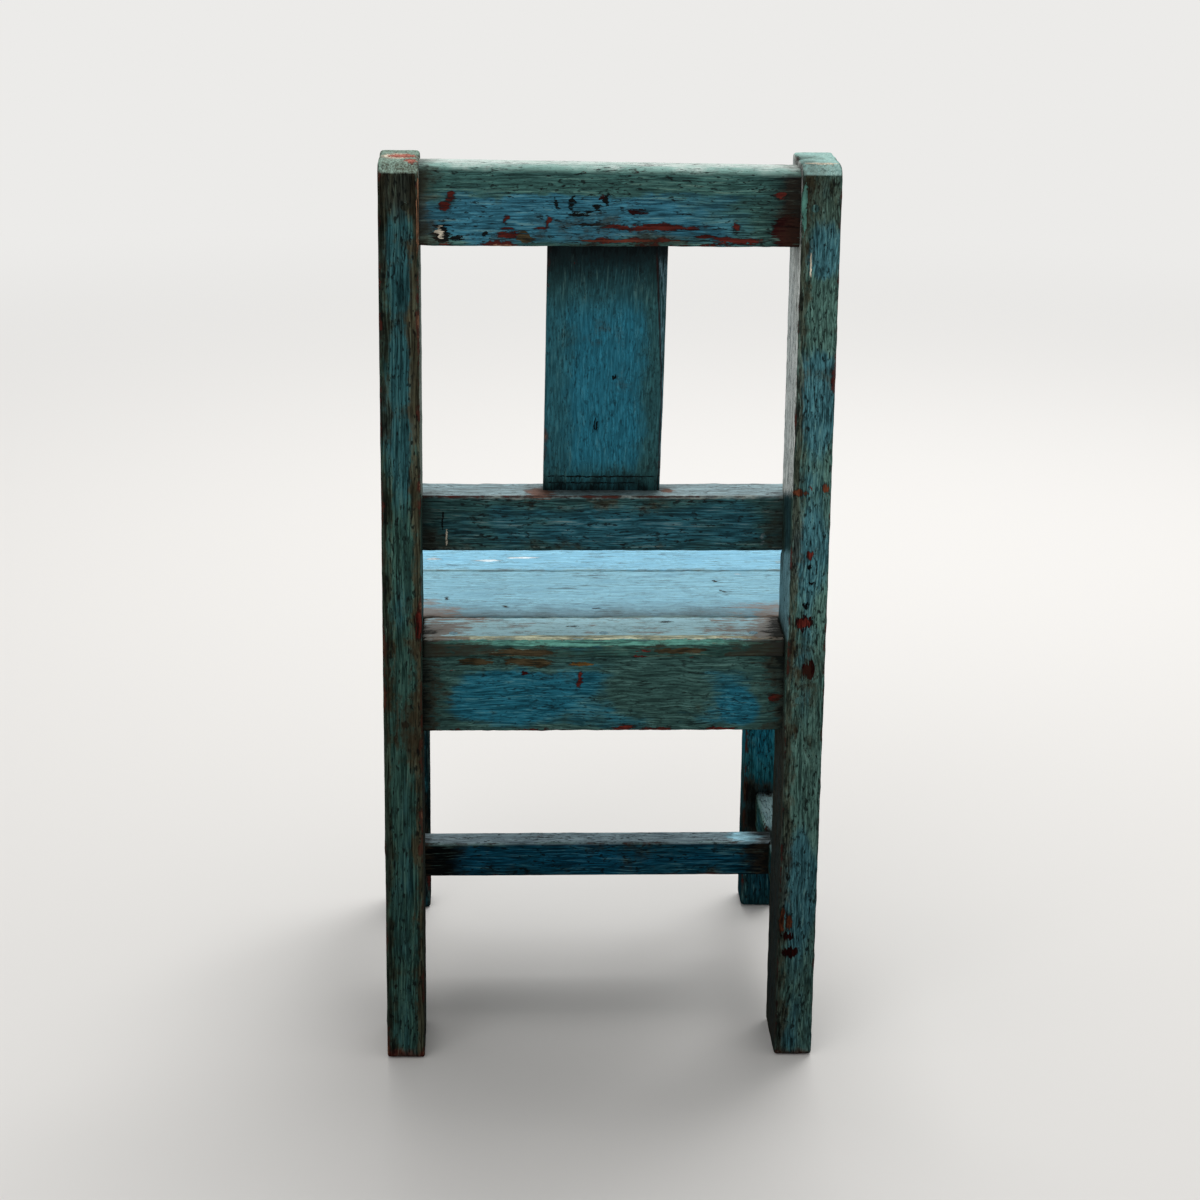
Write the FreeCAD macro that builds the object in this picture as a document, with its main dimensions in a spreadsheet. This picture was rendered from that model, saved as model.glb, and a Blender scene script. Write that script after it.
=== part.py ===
import FreeCAD, Part
import os
import re

# A child's wooden chair with two plank posts, a boarded seat and an H of stretchers.
# +Z is up, the sitter faces -Y, and the origin lies on the floor under the middle of the chair.
# All lengths are in millimetres.
sizes = {
    # whole chair
    "chair_width": 290,
    "chair_depth": 296,
    "joint_clearance": 0.1,
    "mortise_end_gap": 0.5,
    # back posts
    "post_height": 609.5,
    "post_width": 26,
    "post_depth": 60,
    "post_edge_round": 1.5,
    "post_top_round": 9,
    # front legs
    "leg_width": 26,
    "leg_depth": 28,
    "leg_edge_round": 2,
    # seat boards
    "seat_height": 297,
    "seat_thickness": 14,
    "seat_overhang": 10,
    "seat_rear_inset": 14,
    "seat_edge_round": 3,
    "middle_board_width": 109,
    "board_gap": 0.8,
    # seat rails
    "seat_rail_height": 51,
    "seat_rail_thickness": 20,
    "seat_rail_inset": 2,
    "rail_edge_round": 1.5,
    "rail_tenon_thickness": 10,
    "rail_tenon_shoulder": 6,
    "post_tenon_length": 18,
    "front_rail_tenon_length": 14,
    "side_rail_leg_tenon_length": 10,
    # crest rail
    "crest_height": 51,
    "crest_thickness": 32,
    "crest_inset": 3,
    "crest_drop": 1.5,
    "crest_top_round": 8,
    # lower back rail
    "back_rail_gap": 47,
    "back_rail_height": 38.5,
    "back_rail_thickness": 34,
    "back_rail_housing": 6,
    # splat
    "splat_width": 78,
    "splat_thickness": 9,
    "splat_edge_round": 1.5,
    "splat_foot_inset": 14.5,
    "splat_head_inset": 9,
    "splat_let_in": 8,
    # stretchers
    "stretcher_bottom": 67.5,
    "stretcher_height": 26.5,
    "side_stretcher_thickness": 15,
    "side_stretcher_inset": 2,
    "cross_stretcher_thickness": 22,
    "cross_stretcher_setback": 98,
    "stretcher_edge_round": 1.5,
    "stretcher_tenon_thickness": 8,
    "stretcher_tenon_shoulder": 4,
    "stretcher_tenon_length": 14,
    "cross_tenon_thickness": 14,
    "cross_tenon_length": 9,
    # wooden pegs
    "peg_diameter": 5,
    "post_peg_length": 36,
    "leg_peg_length": 15,
    "side_peg_length": 22,
    # nails
    "nail_head_diameter": 6,
    "nail_head_thickness": 1,
    "nail_shank_diameter": 2.6,
    "seat_nail_length": 34,
    "seat_nail_margin": 20,
    "back_rail_nail_length": 56,
    "back_rail_nail_margin": 10,
}

doc = FreeCAD.newDocument("kids_chair")
sheet = doc.addObject("Spreadsheet::Sheet", "Sizes")
for row, (alias, value) in enumerate(sizes.items(), start=1):
    sheet.set(f"A{row}", alias)
    sheet.set(f"B{row}", str(value))
    sheet.setAlias(f"B{row}", alias)
doc.recompute()

# Planes and lines that several pieces share, written in the sheet's names
half_width = "chair_width / 2"
post_inner = "(chair_width / 2 - post_width)"
leg_inner = "(chair_width / 2 - leg_width)"
post_rear = "(chair_depth / 2)"
post_front = "(chair_depth / 2 - post_depth)"
leg_front = "(seat_overhang - chair_depth / 2)"
leg_rear = "(seat_overhang - chair_depth / 2 + leg_depth)"
seat_under = "(seat_height - seat_thickness)"
seat_rail_bottom = "(seat_height - seat_thickness - seat_rail_height)"
side_rail_outer = "(chair_width / 2 - seat_rail_inset)"
side_rail_middle = "(chair_width / 2 - seat_rail_inset - seat_rail_thickness / 2)"
rear_rail_rear = "(chair_depth / 2 - seat_rear_inset)"
rear_rail_middle = "(chair_depth / 2 - seat_rear_inset - seat_rail_thickness / 2)"
front_rail_front = "(seat_overhang - chair_depth / 2 + seat_rail_inset)"
front_rail_middle = "(seat_overhang - chair_depth / 2 + seat_rail_inset + seat_rail_thickness / 2)"
board_joint = "(chair_depth / 2 - post_depth - middle_board_width)"
crest_rear = "(chair_depth / 2 - crest_inset)"
crest_middle = "(chair_depth / 2 - crest_inset - crest_thickness / 2)"
crest_top = "(post_height - crest_drop)"
crest_under = "(post_height - crest_drop - crest_height)"
back_rail_rear = "(chair_depth / 2 - post_depth + back_rail_housing)"
back_rail_front = "(chair_depth / 2 - post_depth + back_rail_housing - back_rail_thickness)"
back_rail_bottom = "(seat_height + back_rail_gap)"
back_rail_top = "(seat_height + back_rail_gap + back_rail_height)"
stretcher_top = "(stretcher_bottom + stretcher_height)"
stretcher_middle = "(stretcher_bottom + stretcher_height / 2)"
stretcher_outer = "(chair_width / 2 - side_stretcher_inset)"
stretcher_inner = "(chair_width / 2 - side_stretcher_inset - side_stretcher_thickness)"
stretcher_centre = "(chair_width / 2 - side_stretcher_inset - side_stretcher_thickness / 2)"
cross_rear = "(chair_depth / 2 - post_depth - cross_stretcher_setback)"
cross_middle = "(chair_depth / 2 - post_depth - cross_stretcher_setback - cross_stretcher_thickness / 2)"

# The splat leans back from the lower back rail to the crest rail
splat_foot_y = f"({back_rail_rear} - splat_foot_inset)"
splat_head_y = f"({crest_rear} - splat_head_inset)"
splat_run = f"({splat_head_y} - {splat_foot_y})"
splat_rise = f"({crest_under} - {back_rail_top})"
splat_reach = f"sqrt({splat_run} ^ 2 + {splat_rise} ^ 2)"
splat_lean = f"atan({splat_run} / {splat_rise})"

sides = {"left": 1, "right": -1}
nodes = []

# Two edges lie on one plane when they are closer than this share of the chair's width
same_plane_share = 1e-6


def bind(text):
    """Turn the sheet's names in a sum into references to its cells."""
    return re.sub(r"[a-z_]+", lambda word: f"Sizes.{word[0]}" if word[0] in sizes else word[0], text)


def mirrored(side, near, far):
    """Range along X from near to far, counted outwards on one side of the chair."""
    if side > 0:
        return near, far
    return f"-({far})", f"-({near})"


def widened(span, amount):
    """Range grown by one amount at both ends."""
    return f"({span[0]}) - {amount}", f"({span[1]}) + {amount}"


def about(middle, size):
    """Range of a given size about its middle."""
    return f"{middle} - {size} / 2", f"{middle} + {size} / 2"


def new_body(label):
    body = doc.addObject("PartDesign::Body", label)
    body.Label = label
    nodes.append(body)
    return body


def block(body, name, x, y, z, cut=False):
    """Add a block to a body, or cut one out of it, between two corners."""
    kind = "SubtractiveBox" if cut else "AdditiveBox"
    box = body.newObject(f"PartDesign::{kind}", name)
    for axis, size, (low, high) in zip("xyz", ("Length", "Width", "Height"), (x, y, z)):
        box.setExpression(f"Placement.Base.{axis}", bind(low))
        box.setExpression(size, bind(f"({high}) - ({low})"))
    return box


turns = {
    "+x": FreeCAD.Rotation(FreeCAD.Vector(0, 1, 0), 90),
    "-x": FreeCAD.Rotation(FreeCAD.Vector(0, 1, 0), -90),
    "+y": FreeCAD.Rotation(FreeCAD.Vector(1, 0, 0), -90),
    "-y": FreeCAD.Rotation(FreeCAD.Vector(1, 0, 0), 90),
    "-z": FreeCAD.Rotation(FreeCAD.Vector(1, 0, 0), 180),
}


def aim(rod, start, heading, diameter, length):
    """Set a cylinder's size, where it starts and which way it points."""
    rod.Placement = FreeCAD.Placement(FreeCAD.Vector(), turns[heading])
    for axis, place in zip("xyz", start):
        rod.setExpression(f"Placement.Base.{axis}", bind(place))
    rod.setExpression("Radius", bind(f"({diameter}) / 2"))
    rod.setExpression("Height", bind(length))
    return rod


def bore(body, name, start, heading, diameter, length):
    """Drill a hole a clearance wider than what goes in it."""
    hole = body.newObject("PartDesign::SubtractiveCylinder", name)
    return aim(hole, start, heading, f"{diameter} + 2 * joint_clearance", length)


def round_edges(body, name, radius, chosen):
    """Round the edges of the body so far that the test picks out."""
    doc.recompute()
    base = body.Tip
    edges = [f"Edge{i}" for i, edge in enumerate(base.Shape.Edges, start=1) if chosen(edge)]
    fillet = body.newObject("PartDesign::Fillet", name)
    fillet.Base = (base, edges)
    fillet.setExpression("Radius", bind(radius))
    doc.recompute()


def runs_along(edge, axis):
    """Is this a straight edge along one axis?"""
    direction = edge.Vertexes[-1].Point - edge.Vertexes[0].Point
    return meets(direction.Length, abs(getattr(direction, axis))) and direction.Length > 0


def meets(one, other):
    """Do two heights or places agree?"""
    return abs(one - other) < same_plane_share * sizes["chair_width"]


def is_highest(edge, box):
    return meets(edge.BoundBox.ZMin, box.ZMax)


def is_rearmost(edge, box):
    return meets(edge.BoundBox.YMin, box.YMax)


def is_foremost(edge, box):
    return meets(edge.BoundBox.YMax, box.YMin)


def is_outermost(edge, box):
    return meets(edge.BoundBox.XMax, box.XMin) or meets(edge.BoundBox.XMin, box.XMax)


def tenon(body, name, x, y, z):
    block(body, name, x, y, z)


def mortise(body, name, x, y, z):
    """Cut a pocket for a tenon, a clearance larger across it."""
    block(body, name, x, y, z, cut=True)


# Rails join the posts and legs with tenons of these heights
seat_tenon_z = (f"{seat_rail_bottom} + rail_tenon_shoulder", f"{seat_under} - rail_tenon_shoulder")
crest_tenon_z = (f"{crest_under} + rail_tenon_shoulder", f"{crest_top} - rail_tenon_shoulder")
stretcher_tenon_z = ("stretcher_bottom + stretcher_tenon_shoulder",
                     f"{stretcher_top} - stretcher_tenon_shoulder")
crest_tenon_y = about(crest_middle, "rail_tenon_thickness")
rear_tenon_y = about(rear_rail_middle, "rail_tenon_thickness")
front_tenon_y = about(front_rail_middle, "rail_tenon_thickness")
cross_tenon_y = about(cross_middle, "cross_tenon_thickness")

# Mortises are a clearance larger than their tenons
seat_mortise_z = widened(seat_tenon_z, "joint_clearance")
crest_mortise_z = widened(crest_tenon_z, "joint_clearance")
stretcher_mortise_z = widened(stretcher_tenon_z, "joint_clearance")
crest_mortise_y = widened(crest_tenon_y, "joint_clearance")
rear_mortise_y = widened(rear_tenon_y, "joint_clearance")
front_mortise_y = widened(front_tenon_y, "joint_clearance")
cross_mortise_y = widened(cross_tenon_y, "joint_clearance")

# Pegs: where each starts, on the right or left side, and the direction it is driven
seat_rail_level = f"({seat_rail_bottom} + seat_rail_height / 2)"
crest_level = f"({crest_under} + crest_height / 2)"
post_peg_x = f"{post_inner} + post_tenon_length / 2"
front_peg_x = f"{leg_inner} + front_rail_tenon_length / 2"
post_side_peg_y = f"{post_front} + post_tenon_length / 2"
leg_side_peg_y = f"{leg_rear} - side_rail_leg_tenon_length / 2"
post_stretcher_peg_y = f"{post_front} + stretcher_tenon_length / 2"
leg_stretcher_peg_y = f"{leg_rear} - stretcher_tenon_length / 2"


def outward(side, place):
    return place if side > 0 else f"-({place})"


def inward_heading(side):
    return "-x" if side > 0 else "+x"


def crest_peg(side):
    return (outward(side, post_peg_x), post_rear, crest_level), "-y", "peg_diameter", "post_peg_length"


def rear_rail_peg(side):
    return (outward(side, post_peg_x), post_rear, seat_rail_level), "-y", "peg_diameter", "post_peg_length"


def front_rail_peg(side):
    return (outward(side, front_peg_x), leg_front, seat_rail_level), "+y", "peg_diameter", "leg_peg_length"


def side_peg(side, y, z):
    return (outward(side, half_width), y, z), inward_heading(side), "peg_diameter", "side_peg_length"


def side_rail_pegs(side):
    return [side_peg(side, post_side_peg_y, seat_rail_level), side_peg(side, leg_side_peg_y, seat_rail_level)]


def stretcher_pegs(side):
    return [side_peg(side, y, stretcher_middle) for y in (post_stretcher_peg_y, leg_stretcher_peg_y)]


# Nails in the lower back rail, driven from its front face into the posts
back_nail_x = "(chair_width / 2 - post_width / 2)"
back_nail_levels = (f"{back_rail_bottom} + back_rail_nail_margin", f"{back_rail_top} - back_rail_nail_margin")


def back_rail_nails(side):
    return [(outward(side, back_nail_x), back_rail_front, z) for z in back_nail_levels]


# Nails in the seat boards, as places on the seat's top
rear_board_nails = [(x, rear_rail_middle) for x in
                    ("0", f"{post_inner} - seat_nail_margin", f"seat_nail_margin - {post_inner}")]
front_board_nails = [(x, front_rail_middle) for x in
                     ("0", f"{leg_inner} - seat_nail_margin", f"seat_nail_margin - {leg_inner}")]
middle_nail_rows = (f"{post_front} - seat_nail_margin", f"{board_joint} + seat_nail_margin")
front_nail_row = f"{board_joint} - seat_nail_margin"


def middle_board_nails(side):
    return [(outward(side, side_rail_middle), y) for y in middle_nail_rows]


def front_side_nail(side):
    return outward(side, side_rail_middle), front_nail_row


def nail_hole(body, name, start, heading):
    """Hole for a whole nail, head and shank, from where its head lies."""
    bore(body, f"{name}_head", start, heading, "nail_head_diameter", "nail_head_thickness")
    length = "back_rail_nail_length" if heading == "+y" else "seat_nail_length"
    bore(body, f"{name}_shank", start, heading, "nail_shank_diameter", length)


def seat_nail_holes(body, places):
    for count, (x, y) in enumerate(places):
        nail_hole(body, f"{body.Name}_nail_{count}", (x, y, "seat_height"), "-z")


def make_post(name, side):
    body = new_body(f"back_post_{name}")
    x = mirrored(side, post_inner, half_width)
    block(body, f"post_stock_{name}", x, (post_front, post_rear), ("0", "post_height"))
    round_edges(body, f"post_arrises_{name}", "post_edge_round", lambda edge: runs_along(edge, "z"))
    box = body.Shape.BoundBox
    round_edges(body, f"post_crown_{name}", "post_top_round",
                lambda edge: runs_along(edge, "x") and is_highest(edge, box) and is_rearmost(edge, box))
    into_post = mirrored(side, post_inner, f"{post_inner} + post_tenon_length + mortise_end_gap")
    mortise(body, f"crest_mortise_{name}", into_post, crest_mortise_y, crest_mortise_z)
    mortise(body, f"rear_rail_mortise_{name}", into_post, rear_mortise_y, seat_mortise_z)
    side_x = about(outward(side, side_rail_middle), "rail_tenon_thickness")
    mortise(body, f"side_rail_post_mortise_{name}", widened(side_x, "joint_clearance"),
            (post_front, f"{post_front} + post_tenon_length + mortise_end_gap"), seat_mortise_z)
    stretcher_x = about(outward(side, stretcher_centre), "stretcher_tenon_thickness")
    mortise(body, f"stretcher_post_mortise_{name}", widened(stretcher_x, "joint_clearance"),
            (post_front, f"{post_front} + stretcher_tenon_length + mortise_end_gap"), stretcher_mortise_z)
    mortise(body, f"back_rail_housing_{name}", x, (post_front, back_rail_rear),
            widened((back_rail_bottom, back_rail_top), "joint_clearance"))
    pegs = [crest_peg(side), rear_rail_peg(side), side_rail_pegs(side)[0], stretcher_pegs(side)[0]]
    for count, peg in enumerate(pegs):
        bore(body, f"post_peg_hole_{name}_{count}", *peg)
    for count, start in enumerate(back_rail_nails(side)):
        nail_hole(body, f"post_nail_{name}_{count}", start, "+y")


def make_leg(name, side):
    body = new_body(f"front_leg_{name}")
    x = mirrored(side, leg_inner, half_width)
    block(body, f"leg_stock_{name}", x, (leg_front, leg_rear), ("0", seat_under))
    round_edges(body, f"leg_arrises_{name}", "leg_edge_round", lambda edge: runs_along(edge, "z"))
    into_leg = mirrored(side, leg_inner, f"{leg_inner} + front_rail_tenon_length + mortise_end_gap")
    mortise(body, f"front_rail_mortise_{name}", into_leg, front_mortise_y, seat_mortise_z)
    side_x = about(outward(side, side_rail_middle), "rail_tenon_thickness")
    mortise(body, f"side_rail_leg_mortise_{name}", widened(side_x, "joint_clearance"),
            (f"{leg_rear} - side_rail_leg_tenon_length - mortise_end_gap", leg_rear), seat_mortise_z)
    stretcher_x = about(outward(side, stretcher_centre), "stretcher_tenon_thickness")
    mortise(body, f"stretcher_leg_mortise_{name}", widened(stretcher_x, "joint_clearance"),
            (f"{leg_rear} - stretcher_tenon_length - mortise_end_gap", leg_rear), stretcher_mortise_z)
    pegs = [front_rail_peg(side), side_rail_pegs(side)[1], stretcher_pegs(side)[1]]
    for count, peg in enumerate(pegs):
        bore(body, f"leg_peg_hole_{name}_{count}", *peg)


def splat_seat_place(thing):
    """Put a piece in the splat's own frame: its foot on the lower back rail, leaning back."""
    thing.Placement = FreeCAD.Placement(FreeCAD.Vector(), FreeCAD.Rotation(FreeCAD.Vector(-1, 0, 0), 1))
    thing.setExpression("Placement.Rotation.Angle", bind(splat_lean))


def splat_mortise(body, name):
    """Slanted slot for the splat's end, a clearance larger all round."""
    slot = body.newObject("PartDesign::SubtractiveBox", name)
    splat_seat_place(slot)
    slot.setExpression("Length", bind("splat_width + 2 * joint_clearance"))
    slot.setExpression("Width", bind("splat_thickness + 2 * joint_clearance"))
    slot.setExpression("Height", bind(f"{splat_reach} + 2 * (splat_let_in + mortise_end_gap)"))
    below = "(splat_let_in + mortise_end_gap)"
    ahead = "(splat_thickness + joint_clearance)"
    corner_y = f"{splat_foot_y} - {below} * sin({splat_lean}) - {ahead} * cos({splat_lean})"
    corner_z = f"{back_rail_top} - {below} * cos({splat_lean}) + {ahead} * sin({splat_lean})"
    slot.setExpression("Placement.Base.x", bind("-splat_width / 2 - joint_clearance"))
    slot.setExpression("Placement.Base.y", bind(corner_y))
    slot.setExpression("Placement.Base.z", bind(corner_z))


def make_splat():
    body = new_body("back_splat")
    block(body, "splat_board", about("0", "splat_width"), ("-splat_thickness", "0"),
          ("-splat_let_in", f"{splat_reach} + splat_let_in"))
    round_edges(body, "splat_arrises", "splat_edge_round", lambda edge: runs_along(edge, "z"))
    splat_seat_place(body)
    body.setExpression("Placement.Base.y", bind(splat_foot_y))
    body.setExpression("Placement.Base.z", bind(back_rail_top))


def rail_between_posts(body, name, inner, tenon_length, y, tenon_y, z):
    """Seat rail along X with a tenon at each end, shouldered against two uprights."""
    block(body, f"{name}_stock", (f"-{inner}", inner), y, z)
    round_edges(body, f"{name}_arrises", "rail_edge_round", lambda edge: runs_along(edge, "x"))
    for side_name, side in sides.items():
        x = mirrored(side, inner, f"{inner} + {tenon_length}")
        tenon(body, f"{name}_tenon_{side_name}", x, tenon_y, seat_tenon_z)


def make_crest_rail():
    body = new_body("crest_rail")
    block(body, "crest_stock", (f"-{post_inner}", post_inner),
          (f"{crest_rear} - crest_thickness", crest_rear), (crest_under, crest_top))
    doc.recompute()
    box = body.Shape.BoundBox
    round_edges(body, "crest_crown", "crest_top_round",
                lambda edge: runs_along(edge, "x") and is_highest(edge, box) and is_rearmost(edge, box))
    round_edges(body, "crest_front_arris", "rail_edge_round",
                lambda edge: runs_along(edge, "x") and is_highest(edge, box) and is_foremost(edge, box))
    for name, side in sides.items():
        x = mirrored(side, post_inner, f"{post_inner} + post_tenon_length")
        tenon(body, f"crest_tenon_{name}", x, crest_tenon_y, crest_tenon_z)
        bore(body, f"crest_peg_hole_{name}", *crest_peg(side))
    splat_mortise(body, "crest_splat_mortise")


def make_lower_back_rail():
    body = new_body("lower_back_rail")
    block(body, "back_rail_stock", (f"-{half_width}", half_width), (back_rail_front, back_rail_rear),
          (back_rail_bottom, back_rail_top))
    round_edges(body, "back_rail_arrises", "rail_edge_round",
                lambda edge: runs_along(edge, "x") and edge.BoundBox.YMax < body.Shape.BoundBox.YMax)
    splat_mortise(body, "back_rail_splat_mortise")
    for name, side in sides.items():
        for count, start in enumerate(back_rail_nails(side)):
            nail_hole(body, f"back_rail_nail_{name}_{count}", start, "+y")


def make_seat_rails():
    z = (seat_rail_bottom, seat_under)
    rear = new_body("rear_seat_rail")
    rear_y = (f"{rear_rail_rear} - seat_rail_thickness", rear_rail_rear)
    rail_between_posts(rear, "rear_rail", post_inner, "post_tenon_length", rear_y, rear_tenon_y, z)
    front = new_body("front_seat_rail")
    front_y = (front_rail_front, f"{front_rail_front} + seat_rail_thickness")
    rail_between_posts(front, "front_rail", leg_inner, "front_rail_tenon_length", front_y, front_tenon_y, z)
    for name, side in sides.items():
        bore(rear, f"rear_rail_peg_hole_{name}", *rear_rail_peg(side))
        bore(front, f"front_rail_peg_hole_{name}", *front_rail_peg(side))
    seat_nail_holes(rear, rear_board_nails)
    seat_nail_holes(front, front_board_nails)


def make_side_seat_rail(name, side):
    body = new_body(f"side_seat_rail_{name}")
    x = mirrored(side, f"{side_rail_outer} - seat_rail_thickness", side_rail_outer)
    block(body, f"side_rail_stock_{name}", x, (leg_rear, post_front), (seat_rail_bottom, seat_under))
    round_edges(body, f"side_rail_arrises_{name}", "rail_edge_round", lambda edge: runs_along(edge, "y"))
    tenon_x = about(outward(side, side_rail_middle), "rail_tenon_thickness")
    tenon(body, f"side_rail_post_tenon_{name}", tenon_x,
          (post_front, f"{post_front} + post_tenon_length"), seat_tenon_z)
    tenon(body, f"side_rail_leg_tenon_{name}", tenon_x,
          (f"{leg_rear} - side_rail_leg_tenon_length", leg_rear), seat_tenon_z)
    for count, peg in enumerate(side_rail_pegs(side)):
        bore(body, f"side_rail_peg_hole_{name}_{count}", *peg)
    seat_nail_holes(body, middle_board_nails(side) + [front_side_nail(side)])


def seat_board(label, x, y, places, rounded):
    """Seat board lying on the rails, with nail holes and some edges eased."""
    body = new_body(label)
    block(body, f"{label}_stock", x, y, (seat_under, "seat_height"))
    doc.recompute()
    box = body.Shape.BoundBox
    round_edges(body, f"{label}_edges", "seat_edge_round",
                lambda edge: is_highest(edge, box) and rounded(edge, box))
    seat_nail_holes(body, places)


def make_seat_boards():
    full = (f"-{half_width}", half_width)
    between = (f"board_gap - {post_inner}", f"{post_inner} - board_gap")
    middle_nails = middle_board_nails(1) + middle_board_nails(-1)
    front_nails = front_board_nails + [front_side_nail(1), front_side_nail(-1)]
    seat_board("seat_board_rear", between, (f"{post_front} + board_gap", rear_rail_rear), rear_board_nails,
               is_rearmost)
    seat_board("seat_board_middle", full, (board_joint, post_front), middle_nails,
               is_outermost)
    seat_board("seat_board_front", full, ("-chair_depth / 2", f"{board_joint} - board_gap"), front_nails,
               lambda edge, box: is_outermost(edge, box) or is_foremost(edge, box))


def make_side_stretcher(name, side):
    body = new_body(f"side_stretcher_{name}")
    x = mirrored(side, stretcher_inner, stretcher_outer)
    block(body, f"side_stretcher_stock_{name}", x, (leg_rear, post_front),
          ("stretcher_bottom", stretcher_top))
    round_edges(body, f"side_stretcher_arrises_{name}", "stretcher_edge_round",
                lambda edge: runs_along(edge, "y"))
    tenon_x = about(outward(side, stretcher_centre), "stretcher_tenon_thickness")
    tenon(body, f"stretcher_post_tenon_{name}", tenon_x,
          (post_front, f"{post_front} + stretcher_tenon_length"), stretcher_tenon_z)
    tenon(body, f"stretcher_leg_tenon_{name}", tenon_x,
          (f"{leg_rear} - stretcher_tenon_length", leg_rear), stretcher_tenon_z)
    mortise_end = f"{stretcher_inner} + cross_tenon_length + mortise_end_gap"
    mortise(body, f"cross_mortise_{name}", mirrored(side, stretcher_inner, mortise_end), cross_mortise_y,
            stretcher_mortise_z)
    for count, peg in enumerate(stretcher_pegs(side)):
        bore(body, f"stretcher_peg_hole_{name}_{count}", *peg)


def make_cross_stretcher():
    body = new_body("cross_stretcher")
    block(body, "cross_stock", (f"-{stretcher_inner}", stretcher_inner),
          (f"{cross_rear} - cross_stretcher_thickness", cross_rear), ("stretcher_bottom", stretcher_top))
    round_edges(body, "cross_arrises", "stretcher_edge_round", lambda edge: runs_along(edge, "x"))
    for name, side in sides.items():
        x = mirrored(side, stretcher_inner, f"{stretcher_inner} + cross_tenon_length")
        tenon(body, f"cross_tenon_{name}", x, cross_tenon_y, stretcher_tenon_z)


def group(label, members):
    """One node for several like fasteners, each a solid of its own."""
    compound = doc.addObject("Part::Compound", label)
    compound.Label = label
    compound.Links = members
    nodes.append(compound)


def make_pegs(label, places):
    pegs = []
    for count, place in enumerate(places):
        peg = doc.addObject("Part::Cylinder", f"{label}_{count}")
        pegs.append(aim(peg, *place))
    group(label, pegs)


def make_nails(label, starts, heading, length):
    nails = []
    for count, start in enumerate(starts):
        head = doc.addObject("Part::Cylinder", f"{label}_head_{count}")
        aim(head, start, heading, "nail_head_diameter", "nail_head_thickness")
        shank = doc.addObject("Part::Cylinder", f"{label}_shank_{count}")
        aim(shank, start, heading, "nail_shank_diameter", length)
        nail = doc.addObject("Part::Fuse", f"{label}_{count}")
        nail.Base = head
        nail.Tool = shank
        nails.append(nail)
    group(label, nails)


def make_fasteners():
    both = tuple(sides.values())
    make_pegs("crest_rail_pegs", [crest_peg(side) for side in both])
    make_pegs("rear_seat_rail_pegs", [rear_rail_peg(side) for side in both])
    make_pegs("front_seat_rail_pegs", [front_rail_peg(side) for side in both])
    make_pegs("side_seat_rail_pegs", [peg for side in both for peg in side_rail_pegs(side)])
    make_pegs("stretcher_pegs", [peg for side in both for peg in stretcher_pegs(side)])
    seat_places = rear_board_nails + front_board_nails
    for side in both:
        seat_places = seat_places + middle_board_nails(side) + [front_side_nail(side)]
    seat_starts = [(x, y, "seat_height") for x, y in seat_places]
    make_nails("seat_board_nails", seat_starts, "-z", "seat_nail_length")
    back_starts = [start for side in both for start in back_rail_nails(side)]
    make_nails("lower_back_rail_nails", back_starts, "+y", "back_rail_nail_length")


for side_name, side_sign in sides.items():
    make_post(side_name, side_sign)
    make_leg(side_name, side_sign)
    make_side_seat_rail(side_name, side_sign)
    make_side_stretcher(side_name, side_sign)
make_crest_rail()
make_lower_back_rail()
make_splat()
make_seat_rails()
make_seat_boards()
make_cross_stretcher()
make_fasteners()
doc.recompute()

# Nothing is written unless every feature and every piece is sound
for feature in doc.Objects:
    if {"Invalid", "Error"} & set(feature.State):
        raise RuntimeError(f"{feature.Name} failed: {feature.State}")
for node in nodes:
    if node.Shape.isNull() or not node.Shape.isValid():
        raise RuntimeError(f"{node.Label} has no sound shape")

os.makedirs("parts", exist_ok=True)
for node in nodes:
    node.Shape.exportStep(f"parts/{node.Label}.step")
    print(f"{node.Label}: {len(node.Shape.Solids)} solid(s), {node.Shape.Volume:.0f} cubic mm")
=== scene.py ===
import math

import bmesh
import bpy
import numpy as np
from mathutils import Matrix, Vector


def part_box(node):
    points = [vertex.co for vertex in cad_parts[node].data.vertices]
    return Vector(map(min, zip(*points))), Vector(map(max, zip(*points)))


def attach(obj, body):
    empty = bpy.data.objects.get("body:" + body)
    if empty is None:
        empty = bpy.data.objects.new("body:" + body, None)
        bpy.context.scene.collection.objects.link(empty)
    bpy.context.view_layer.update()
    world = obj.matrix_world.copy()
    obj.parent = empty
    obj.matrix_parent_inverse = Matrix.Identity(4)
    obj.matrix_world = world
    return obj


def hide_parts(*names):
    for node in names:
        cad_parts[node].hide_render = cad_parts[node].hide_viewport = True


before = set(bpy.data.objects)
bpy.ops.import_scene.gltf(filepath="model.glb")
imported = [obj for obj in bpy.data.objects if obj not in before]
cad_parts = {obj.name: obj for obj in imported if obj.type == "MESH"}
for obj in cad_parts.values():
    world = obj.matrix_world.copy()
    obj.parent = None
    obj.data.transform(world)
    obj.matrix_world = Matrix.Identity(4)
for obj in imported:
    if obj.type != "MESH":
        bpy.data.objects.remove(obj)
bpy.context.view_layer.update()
print("frame loaded")


# colours are written as they look on a screen, 0 to 255
def tone(red, green, blue):
    linear = []
    for part in (red, green, blue):
        share = part / 255
        linear.append(share / 12.92 if share <= 0.04045 else ((share + 0.055) / 1.055) ** 2.4)
    return (*linear, 1.0)


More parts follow.
